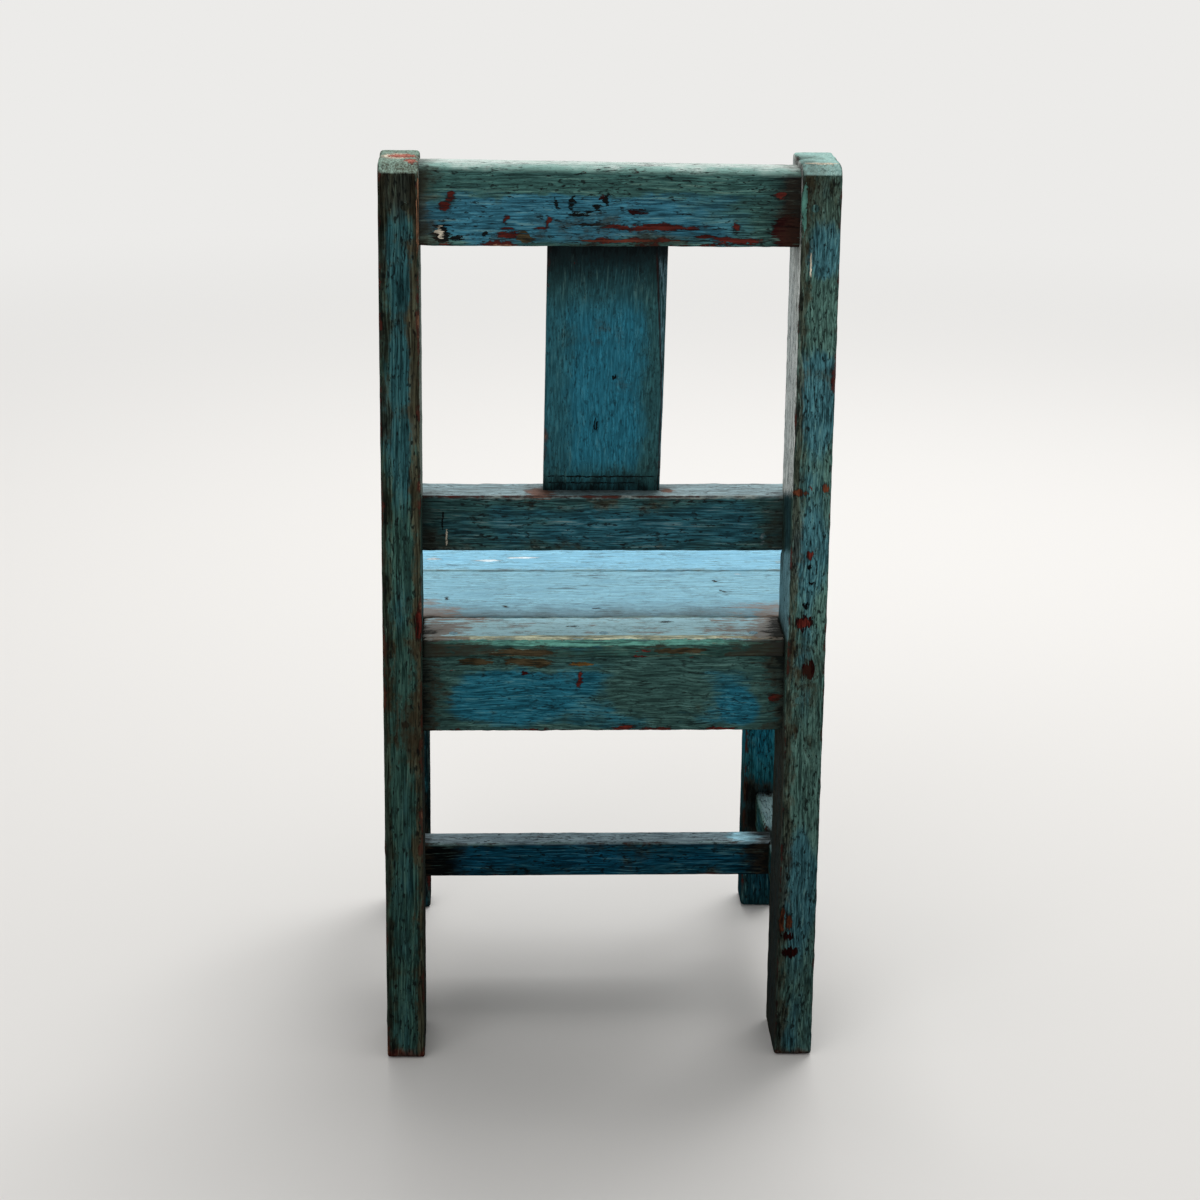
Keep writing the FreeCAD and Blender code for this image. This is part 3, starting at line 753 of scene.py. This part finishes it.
rightPost = {
    "node": "back_post_right",
    **postShape,
    "contacts": (
        crestBody, "lower_back_rail", "seat_board_rear", "rear_seat_rail", "side_seat_rail_right",
    ),
    "look": {
        "grain": "z", "blue": (62, 106, 114), "green": (74, 106, 98), "pale": (118, 156, 146),
        "faded": (172, 206, 198), "dusty": (132, 168, 163), "streak": 1.05, "cleanTop": 0.5,
        "rub": 0.35, "lowDirtAndShade": 0.45, "fade": 0.97, "fadeAndLightFrom": (0.4, 0.68), "paleStreak": 0.5,
        # the inner face carries a painted reflection, a painted shadow and painted shade
        "innerPaintedLight": (1, 0.95), "innerPale": (228, 232, 228), "bend": 0.011, "grime": 0.5, "bare": 0.55,
        "bareSpread": 0.75, "rust": (88, 50, 34),
        "bands": (
            ("bareBrown", 0, -0.1275, -0.1230, 0.7), ("soot", 0, -0.1216, -0.1198, 0.8),
            ("olive", 2, 0.562, 0.582, 0.5), ("undercoat", 2, 0.007, 0.001, 0.6),
        ),
        "zones": onFace(0.148, zoneDepth,
            (-0.5, -0.1365, 0.556, 0.014, 0.02),
            (0.45, -0.132, 0.514, 0.022, 0.03),
            (-0.5, -0.1365, 0.457, 0.014, 0.036),
            (-0.4, -0.134, 0.357, 0.016, 0.032),
            (0.3, -0.132, 0.2, 0.022, 0.04),
            (-0.4, -0.132, 0.125, 0.016, 0.045),
        ),
        "chips": (
            *onFace(0.148, chipDepth,
                ("mint", -0.121, 0.581, 0.0018, 0.017),
                ("maroon", -0.13, 0.311, 0.0056, 0.0052),
                ("undercoat", -0.1296, 0.3106, 0.0038, 0.0034),
                ("soot", -0.1324, 0.3491, 0.0014, 0.0016),
                ("soot", -0.1339, 0.3379, 0.0016, 0.0016),
                ("soot", -0.1296, 0.3228, 0.003, 0.0018),
                ("rust", -0.1236, 0.3982, 0.005, 0.002),
                ("rust", -0.1411, 0.4019, 0.0022, 0.003),
                ("cream", -0.1265, 0.547, 0.0006, 0.008),
                ("maroon", -0.134, 0.2788, 0.0045, 0.006),
                ("undercoat", -0.1318, 0.356, 0.0018, 0.003),
                ("rust", -0.1265, 0.099, 0.002, 0.006),
                ("rust", -0.1215, 0.101, 0.0018, 0.01),
                ("maroon", -0.1262, 0.089, 0.004, 0.0022),
                ("maroon", -0.1285, 0.0775, 0.0056, 0.004),
            ),
            ("cream", (-0.1310, 0.138, 0.6095), (0.0115, 0.0032, 0.004)),
        ),
    },
}
makeMember(leftPost)
makeMember(rightPost)
print("back posts done")

# crest rail
crestRail = {
    "node": "crest_rail",
    "slot": "back_paint",
    "trim": (0.014, 0, 0),
    "rightDrop": 0.0028,
    "rounds": ((0.008, 5, "x", ("rear", "top")),),
    "arris": 0.0018,
    "contacts": (*posts, splatHead),
    "look": {
        "grain": "x", "blue": (50, 105, 124), "green": (54, 90, 86), "glaze": -0.05, "streak": 0.85,
        "fadeAndLightFrom": (0.45, 0.92), "sheen": 0.035, "greyFrom": (0.122, 0.142), "greyed": (132, 174, 164),
        "faded": (238, 248, 242), "dusty": (184, 204, 194), "pale": (150, 180, 164), "grime": 0.5,
        "rust": (90, 44, 33), "undercoat": (72, 28, 23),
        "bands": (
            ("green", 2, 0.5885, 0.5925, 0.9), ("maroon", 0, -0.1035, -0.1105, 0.85),
            ("soot", 0, -0.0840, -0.1130, 0.75),
            ("olive", 0, 0.1075, 0.1165, 0.75),
        ),
        "zones": onFace(0.145, zoneDepth,
            (0.8, 0, 0.61, 0.16, 0.021),
            (0.3, -0.088, 0.584, 0.045, 0.024),
            (-0.55, 0.04, 0.572, 0.085, 0.018),
        ),
        "chips": (
            ("maroon", (-0.1120, 0.145, 0.5660), (0.0110, 0.006, 0.0130)),
            *onFace(0.145, chipDepth,
                ("undercoat", -0.106, 0.59, 0.0034, 0.0022),
                ("undercoat", -0.0249, 0.5697, 0.033, 0.0016),
                ("undercoat", 0.0035, 0.5617, 0.004, 0.0016),
                ("undercoat", -0.0175, 0.5618, 0.0062, 0.0018),
                ("rust", -0.016, 0.5612, 0.03, 0.0008),
                ("undercoat", -0.0325, 0.5619, 0.0048, 0.0016),
                ("undercoat", -0.0818, 0.5614, 0.018, 0.0018),
                ("undercoat", 0.0999, 0.5884, 0.0026, 0.0036),
                ("undercoat", 0.1037, 0.5826, 0.0034, 0.0026),
                ("undercoat", 0.0639, 0.5648, 0.0072, 0.0013),
                ("undercoat", 0.0643, 0.5686, 0.0045, 0.0009),
                ("undercoat", 0.0426, 0.5688, 0.0053, 0.0009),
                ("undercoat", 0.0648, 0.5749, 0.0014, 0.0028),
                ("undercoat", -0.0592, 0.5638, 0.0055, 0.0009),
                ("bareBrown", 0.0536, 0.5632, 0.005, 0.004),
                ("soot", 0.014, 0.5713, 0.012, 0.0008),
                ("soot", 0.0955, 0.5626, 0.005, 0.002),
                ("soot", 0.078, 0.5657, 0.002, 0.0024),
                ("undercoat", 0.0389, 0.5732, 0.0014, 0.004),
                ("undercoat", -0.0785, 0.5709, 0.0022, 0.003),
                ("soot", 0.1055, 0.564, 0.006, 0.0062),
                ("cream", 0.1066, 0.5655, 0.0026, 0.0038),
                ("rust", 0.1045, 0.5588, 0.0042, 0.0012),
                ("soot", 0.0345, 0.584, 0.0012, 0.0042),
                ("soot", 0.024, 0.584, 0.0018, 0.006),
                ("soot", 0.018, 0.5782, 0.0085, 0.0012),
                ("soot", 0.0085, 0.5815, 0.0028, 0.0022),
                ("soot", 0.0025, 0.587, 0.0018, 0.0048),
                ("maroon", 0.0055, 0.588, 0.0022, 0.0018),
                ("maroon", -0.017, 0.5792, 0.006, 0.0018),
            ),
        ),
    },
}
makeMember(crestRail)

# lower back rail
lowerBackRail = {
    "node": "lower_back_rail",
    "slot": "back_paint",
    "arris": 0.0016,
    "wear": openEnds,
    "contacts": (*posts, splatFoot),
    "look": {
        "grain": "x", "blue": (38, 86, 98), "green": (44, 78, 78), "glaze": -0.05, "bareSpread": 0.3,
        "sheen": 0.035, "pale": (166, 174, 166), "pinkish": (116, 88, 78), "rub": 0.6, "bareReach": 0.9,
        "bareLevels": (0.362, 0.372), "faded": (162, 190, 196), "dusty": (84, 100, 102), "fade": 0.92,
        "grime": 0.5,
        "chips": (
            ("pinkish", (0.0420, 0.084, 0.382), (0.0110, 0.0100, 0.003)),
            ("pinkish", (-0.0425, 0.080, 0.382), (0.0045, 0.0060, 0.003)),
            *onFace(0.094, chipDepth,
                ("soot", 0.106, 0.3654, 0.0006, 0.007),
                ("cream", 0.1035, 0.3534, 0.0007, 0.0056),
                ("dusty", -0.1068, 0.3548, 0.0012, 0.0016),
                ("dusty", -0.1068, 0.35, 0.0012, 0.0012),
            ),
        ),
    },
}
makeMember(lowerBackRail)

# splat, leaning back from the lower rail to the crest rail
splat = {
    "width": 2 * splatHalf,
    "topNarrow": 0.985,
    "thick": 0.009,
    "lean": splatLean,
    "foot": (0.0006, 0.0795, railTop),
    "length": math.hypot(splatRun, crestUnder - railTop),
    "letIn": 0.006,
    "arris": 0.0012,
    "chamferTop": 0.0085,
    "chamferDepth": 0.0055,
    "chamferEnd": 0.33,
    "headSlack": 0.001,
    "cutSlack": 1e-6,
    "wear": {
        **roughSawn, "hiddenEnds": "z", "mesh": 0.0012, "wave": 0.0003, "nick": 0.0004, "arrisBand": 3,
    },
    "contacts": ("crest_rail", "lower_back_rail"),
    "look": {
        "grain": "z", "blue": (38, 106, 126), "green": (44, 82, 84), "glaze": -0.35, "lean": splatLean,
        "rub": 0.2, "bare": 0.3, "streak": 0.45, "blotch": 0.45, "soot": (9, 15, 17),
        "grimeBrown": (14, 24, 26), "speck": 0.45, "hairline": 0.5, "paleStreak": 0.15, "bend": 0.004,
        # the facet of the cut arris is painted lighter, a painted highlight
        "facetHighlightShare": 0.5, "sheen": 0.035,
        "bands": (
            ("green", 0, 0.014, 0.030, 0.6), ("green", 0, -0.016, -0.030, 0.9),
            # the splat's head below the crest rail is painted dark, a painted shade
            ("green", 2, 0.510, 0.545, 0.8), ("soot", 2, 0.526, 0.562, 0.85),
            ("green", 2, 0.418, 0.396, 0.7),
        ),
        "chips": onFace(-0.0415, chipDepth,
            ("soot", 0, 0.399, 0.043, 0.0006),
            ("soot", 0.006, 0.394, 0.034, 0.0005),
            ("soot", 0.0059, 0.4391, 0.002, 0.004),
            ("soot", -0.0054, 0.476, 0.0014, 0.0016),
        ),
    },
}


def makeSplat(settings):
    half = settings["width"] / 2
    low = Vector((-half, -settings["thick"], -settings["letIn"]))
    high = Vector((half, 0, settings["length"] + settings["letIn"]))
    piece = startBlock("backSplat", low, high)
    # the rear arris on the chair's right is cut off to a long taper that runs out part of the way down
    wide, deep = settings["chamferTop"], settings["chamferDepth"]
    runOut = settings["length"] * settings["chamferEnd"]
    edgeTop = Vector((-half, 0, high.z))
    cutAcross = Vector((-half + wide, 0, high.z))
    cutDeep = Vector((-half, -deep, high.z))
    cutEnd = Vector((-half, 0, runOut))
    plane = (cutDeep - cutAcross).cross(cutEnd - cutAcross)
    if plane.dot(edgeTop - cutAcross) < 0:
        plane = -plane
    plane.normalize()
    bpy.ops.object.mode_set(mode="EDIT")
    bpy.ops.mesh.select_all(action="SELECT")
    cut = {"plane_co": cutAcross, "plane_no": plane, "threshold": settings["cutSlack"]}
    bpy.ops.mesh.bisect(**cut, use_fill=True, clear_outer=True)
    # the board narrows a little towards its head
    bpy.ops.mesh.select_all(action="DESELECT")
    shape = bmesh.from_edit_mesh(piece.data)
    for vertex in shape.verts:
        vertex.select_set(vertex.co.z > high.z - settings["headSlack"])
    bmesh.update_edit_mesh(piece.data)
    bpy.ops.transform.resize(value=(settings["topNarrow"], 1, 1), center_override=(0, 0, high.z))
    bpy.ops.object.mode_set(mode="OBJECT")
    softenArrises(piece, settings["arris"])
    wearSurface(piece, low, high, settings["wear"])
    piece.rotation_euler = (-settings["lean"], 0, 0)
    piece.location = settings["foot"]
    bpy.ops.object.transform_apply(location=True, rotation=True, scale=True)
    measureJoints(piece, settings["contacts"])
    settle(piece, "back_splat", wornPaint("backSplatPaint", settings["look"]))


makeSplat(splat)
print("back done")

# seat boards
seatLook = {
    "grain": "x", "blue": (40, 92, 108), "green": (46, 80, 74), "faded": (146, 206, 230),
    "dusty": (106, 160, 186), "innerPale": (214, 226, 230), "pale": (150, 178, 176), "fade": 0.97,
    "soot": (44, 44, 40), "greyFrom": (-0.08, 0.16), "grimeTop": (104, 84, 66), "speck": 0.3,
    "bare": 0.15, "grime": 0.75, "greyed": (136, 176, 184), "bend": 0.004, "grainLine": 0.5,
    "sheen": 0.04,
    "chips": onSeat(
        ("innerPale", 0.1139, -0.0504, 0.004, 0.003),
        ("innerPale", -0.1023, -0.011, 0.003, 0.0016),
        ("innerPale", 0.0759, -0.0453, 0.01, 0.0026),
        ("innerPale", 0.0511, -0.0529, 0.011, 0.0024),
        ("soot", -0.0856, 0.0283, 0.0014, 0.0022),
        ("soot", 0.0197, 0.1093, 0.0048, 0.0014),
        ("soot", -0.0431, 0.0998, 0.0044, 0.0014),
        ("soot", -0.0832, 0.0061, 0.0014, 0.0018),
        ("soot", 0.104, 0.0458, 0.0014, 0.003),
        ("soot", 0.0645, 0.0644, 0.0026, 0.0022),
        ("soot", 0.0021, 0.0692, 0.003, 0.0014),
    ),
}
rearBoard = {
    "node": "seat_board_rear",
    "slot": "seat_paint",
    "trim": (-0.0013, 0, 0),
    "rounds": ((0.004, 4, "x", ("rear", "top")),),
    "arris": 0.0012,
    "contacts": (*posts, soiledCorner),
    "look": {
        **seatLook, "glaze": 0.25, "pale": (204, 208, 176), "rub": 0.6, "grimeReach": 3.3, "grime": 1.0,
        "greyed": (180, 226, 234), "cream": (206, 210, 180), "grimeTop": (130, 96, 72),
        "chips": (
            *seatLook["chips"],
            *onFace(0.134, chipDepth,
                ("bareBrown", 0.056, 0.2862, 0.024, 0.003),
                ("bareBrown", -0.05, 0.2875, 0.016, 0.0022),
            ),
            ("mint", (0, 0.1336, 0.2934), (0.1200, 0.0040, 0.0024)),
            ("cream", (0, 0.1316, 0.2966), (0.1200, 0.0026, 0.0018)),
        ),
    },
}
middleBoard = {
    "node": "seat_board_middle",
    "slot": "seat_paint",
    "arris": 0.0016,
    "wear": openEnds,
    "contacts": posts,
    "look": {
        **seatLook, "greyFrom": (0.045, 0.095), "greyed": (86, 114, 122), "grimeTop": (130, 96, 72),
        "grimeReach": 2.2, "faded": (150, 206, 224), "dusty": (110, 160, 180),
    },
}
frontBoard = {
    "node": "seat_board_front",
    "slot": "seat_paint",
    "rounds": ((0.004, 4, "x", ("front", "top")),),
    "arris": 0.0016,
    "wear": openEnds,
    "contacts": (),
    "look": {**seatLook, "faded": (156, 220, 246), "dusty": (114, 174, 202)},
}
for board in (rearBoard, middleBoard, frontBoard):
    makeMember(board)
print("seat done")

# seat rails
rearRail = {
    "node": "rear_seat_rail",
    "slot": "frame_paint",
    "trim": (0.014, 0, -0.0006),
    "arris": 0.0015,
    "contacts": posts,
    "look": {
        "grain": "x", "blue": (34, 96, 114), "green": (54, 84, 80), "glaze": 0.1, "rub": 0.0,
        "streak": 0.75, "speck": 0.6, "bend": 0.012, "bareLevels": (0.262, 0.250), "fade": 0.0,
        "bands": (("green", 2, 0.2725, 0.2765, 0.85),),
        "zones": onFace(0.134, zoneDepth,
            (-0.7, 0.0634, 0.2544, 0.042, 0.02),
            (-0.6, -0.09, 0.248, 0.014, 0.013),
            (0.5, -0.035, 0.26, 0.04, 0.022),
        ),
        "chips": onFace(0.134, chipDepth,
            ("undercoat", -0.1138, 0.2546, 0.0048, 0.0032),
            ("undercoat", 0.0163, 0.2675, 0.0016, 0.005),
            ("maroon", 0.0529, 0.2725, 0.0022, 0.0018),
            ("bareBrown", 0.048, 0.2795, 0.015, 0.003),
            ("bareBrown", 0.085, 0.28, 0.01, 0.0022),
            ("ochre", 0.0145, 0.2785, 0.008, 0.0014),
            ("undercoat", -0.0109, 0.2331, 0.007, 0.0014),
            ("undercoat", -0.0401, 0.233, 0.005, 0.0014),
            ("undercoat", -0.0791, 0.2329, 0.0105, 0.0014),
        ),
    },
}
frontRail = {
    "node": "front_seat_rail",
    "slot": "frame_paint",
    "trim": (0.010, 0, 0),
    "arris": 0.0015,
    "contacts": ("front_leg_left", "front_leg_right", "seat_board_front"),
    "look": {"grain": "x", "glaze": -0.05},
}
makeMember(rearRail)
makeMember(frontRail)

# front legs, side rails and side stretchers, left and right
legLook = {"grain": "z", "blue": (28, 102, 122), "green": (30, 90, 100), "bare": 0.6}
legFootBand = ("soot", 2, 0.088, 0.060, 0.7)
legBands = {
    # the left leg's inner edge is painted near-black, a painted shade
    "left": (legFootBand, ("soot", 0, 0.1275, 0.1215, 0.85)),
    "right": (legFootBand,),
}
sideBar = {
    "slot": "frame_paint",
    "trim": (0, 0.008, 0),
    "arris": 0.0015,
    "wear": {**roughSawn, "hiddenEnds": "y"},
}
railLook = {"grain": "y"}
for side in ("left", "right"):
    makeMember({
        "node": "front_leg_" + side,
        "slot": "frame_paint",
        "arris": 0.0022,
        "wear": openEnds,
        "contacts": (
            "front_seat_rail", "seat_board_front", "side_seat_rail_" + side, "side_stretcher_" + side,
        ),
        "look": {**legLook, "bands": legBands[side]},
    })
    makeMember({
        "node": "side_seat_rail_" + side,
        **sideBar,
        "contacts": ("back_post_" + side, "front_leg_" + side, "seat_board_middle"),
        "look": railLook,
    })
    makeMember({
        "node": "side_stretcher_" + side,
        **sideBar,
        "contacts": ("back_post_" + side, "front_leg_" + side, "cross_stretcher"),
        "look": {**railLook, "blue": (36, 80, 92), "faded": (150, 176, 178)},
    })
makeMember({
    "node": "cross_stretcher",
    "slot": "frame_paint",
    "trim": (0.004, 0, 0),
    "arris": 0.0015,
    "wear": {**roughSawn, "nick": 0.0003},
    "contacts": ("side_stretcher_left", "side_stretcher_right"),
    "look": {
        # its blue and green are darkened as painted shade under the seat, and both ends are painted
        # darker still, a painted shadow
        "grain": "x", "blue": (15, 72, 95), "green": (14, 60, 75), "glaze": -0.05, "rub": 0.35,
        "facet": (164, 214, 230),
        "bands": (("soot", 0, 0.085, 0.105, 1.0), ("soot", 0, -0.104, -0.116, 0.9)),
        "chips": (("facet", (-0.1115, -0.0210, 0.094), (0.0130, 0.0120, 0.003)),),
        "faded": (206, 232, 240), "dusty": (128, 148, 156), "lowDirtAndShade": 0.85, "bareSpread": 0.5,
        "bare": 0.6,
    },
})
print("frame done")

# peg ends and nail heads are painted over with the rest and rubbed a little darker
flushPaint = {"rub": 0.0, "bare": 0.0, "grime": 0.0}
postPegLook = {
    **leftPost["look"], **flushPaint, "glaze": -0.5, "chips": (),
    "bands": (
        ("olive", 2, 0.556, 0.570, 0.8), ("soot", 2, 0.556, 0.570, 0.5),
        ("otherSide", 0, 0.01, -0.01, 1.0),
    ),
}
legPegLook = {**legLook, **flushPaint, "blue": (22, 54, 62), "green": (24, 50, 52)}
seatNailLook = {
    "paint": (124, 168, 184),
    "rubbed": (108, 132, 134),
    "dark": (76, 92, 94),
}
railNailLook = {
    "paint": (40, 74, 84),
    "rubbed": (62, 62, 58),
    "dark": (20, 32, 34),
}
nailWear = {
    "rubbing": (420, 5, 0.7),
    "smear": (1500, 3, 0.6),
    "rubbedFrom": (0.5, 0.6),
    "darkFrom": (0.52, 0.66),
    "darkShare": 0.8,
    "metalFrom": (0.55, 0.62),
    "metalShare": 0.7,
    "rough": 0.45,
    "roughSwing": 0.3,
    "sheen": 0.2,
    "relief": 0.0002,
}


def paintedOver(name, look):
    wear = nailWear
    material, tree, shader = newMaterial(name, wear["sheen"])
    place = startWire(tree, "ShaderNodeTexCoord", "Object")
    rubbing = place.noise(*wear["rubbing"])
    smear = place.noise(*wear["smear"])
    rubbed = rubbing.ramp(*wear["rubbedFrom"])
    colour = rubbed.between(tone(*look["paint"]), tone(*look["rubbed"]))
    darkened = smear.ramp(*wear["darkFrom"]) * wear["darkShare"]
    colour = colour.mix(tone(*look["dark"]), darkened)
    colour.into(shader.inputs["Base Color"])
    rough = wear["rough"] + smear * wear["roughSwing"]
    rough.into(shader.inputs["Roughness"])
    metal = rubbing.ramp(*wear["metalFrom"]) * wear["metalShare"]
    metal.into(shader.inputs["Metallic"])
    (smear * wear["relief"]).relief().into(shader.inputs["Normal"])
    return material


postPegPaint = wornPaint("postPegPaint", postPegLook)
legPegPaint = wornPaint("legPegPaint", legPegLook)
fastenerPaint = {
    "crest_rail_pegs": postPegPaint,
    "rear_seat_rail_pegs": postPegPaint,
    "front_seat_rail_pegs": legPegPaint,
    "side_seat_rail_pegs": legPegPaint,
    "stretcher_pegs": legPegPaint,
    "seat_board_nails": paintedOver("seatNailPaint", seatNailLook),
    "lower_back_rail_nails": paintedOver("railNailPaint", railNailLook),
}
for node, paint in fastenerPaint.items():
    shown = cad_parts[node]
    shown.data.materials.clear()
    shown.data.materials.append(paint)
print("pegs and nails done")

# floor and light
studio = {
    "floorSize": 60.0,
    "floorTone": (214, 212, 209),
    "floorRough": 0.8,
    "floorSheen": 0.1,
    "floorFade": (0.9, 3.2),
    "farTone": (236, 235, 233),
    "worldLight": 0.5,
    "worldShown": 0.83,
    "keyPlace": (-0.5, -1.5, 2.5),
    "keySize": 2.2,
    "keyPower": 74.0,
    "fillPlace": (1.2, 2.6, 1.7),
    "fillSize": 2.4,
    "fillPower": 26.0,
    "aim": (0.0, 0.0, 0.32),
}


def areaLight(name, settings):
    place = settings[name + "Place"]
    bpy.ops.object.light_add(type="AREA", location=place)
    lamp = bpy.context.object
    lamp.name = name + "Light"
    lamp.data.size = settings[name + "Size"]
    lamp.data.energy = settings[name + "Power"]
    towards = Vector(settings["aim"]) - Vector(place)
    lamp.rotation_euler = towards.to_track_quat("-Z", "Y").to_euler()


# rays that see the plain background: straight from the camera, or off gloss and through glass
def showsBackground(tree):
    seen = startWire(tree, "ShaderNodeLightPath", "Is Camera Ray")
    for ray in ("Is Glossy Ray", "Is Transmission Ray"):
        seen = seen.most(startWire(tree, "ShaderNodeLightPath", ray))
    return seen


def makeStudio(settings):
    bpy.ops.object.select_all(action="DESELECT")
    bpy.ops.mesh.primitive_plane_add(size=settings["floorSize"])
    floor = bpy.context.object
    floor.name = "studioFloor"
    material, tree, shader = newMaterial("paleFloor", settings["floorSheen"])
    shader.inputs["Base Color"].default_value = tone(*settings["floorTone"])
    shader.inputs["Roughness"].default_value = settings["floorRough"]
    # away from the chair the floor shows an even pale tone
    away = startWire(tree, "ShaderNodeTexCoord", "Object").reach().ramp(*settings["floorFade"])
    away = away * showsBackground(tree)
    plain = away.make("ShaderNodeEmission", {}, {"Color": tone(*settings["farTone"]), "Strength": 1.0})
    both = away.make("ShaderNodeMixShader", {}, {0: away, 1: Wire(tree, shader.outputs[0]), 2: plain})
    both.into(tree.nodes["Material Output"].inputs["Surface"])
    floor.data.materials.append(material)
    areaLight("key", settings)
    areaLight("fill", settings)
    world = bpy.data.worlds.new("studioWorld")
    world.use_nodes = True
    bpy.context.scene.world = world
    tree = world.node_tree
    light = settings["worldLight"]
    strength = light + showsBackground(tree) * (settings["worldShown"] - light)
    strength.into(tree.nodes["Background"].inputs["Strength"])
    tree.nodes["Background"].inputs["Color"].default_value = (1, 1, 1, 1)


makeStudio(studio)

# camera behind the chair, a little to its left
cameraSettings = {
    "place": (0.0832, 1.909, 0.871),
    "turn": math.radians(2.584),
    "down": math.radians(17.15),
    "roll": math.radians(0.688),
    "lens": 85.32,
    "sensor": 36.0,
}


def makeCamera(settings):
    turn, down = settings["turn"], settings["down"]
    ahead = Vector((-math.sin(turn) * math.cos(down), -math.cos(turn) * math.cos(down), -math.sin(down)))
    right = ahead.cross(Vector((0, 0, 1))).normalized()
    up = right.cross(ahead)
    cosine, sine = math.cos(settings["roll"]), math.sin(settings["roll"])
    rolledRight = right * cosine + up * sine
    rolledUp = up * cosine - right * sine
    bpy.ops.object.camera_add()
    camera = bpy.context.object
    camera.name = "photoCamera"
    turned = Matrix((rolledRight, rolledUp, -ahead)).transposed().to_4x4()
    camera.matrix_world = Matrix.Translation(settings["place"]) @ turned
    camera.data.sensor_width = settings["sensor"]
    camera.data.lens = settings["lens"]
    bpy.context.scene.camera = camera


makeCamera(cameraSettings)
bpy.context.scene.view_settings.view_transform = "Standard"
print("studio and camera done")
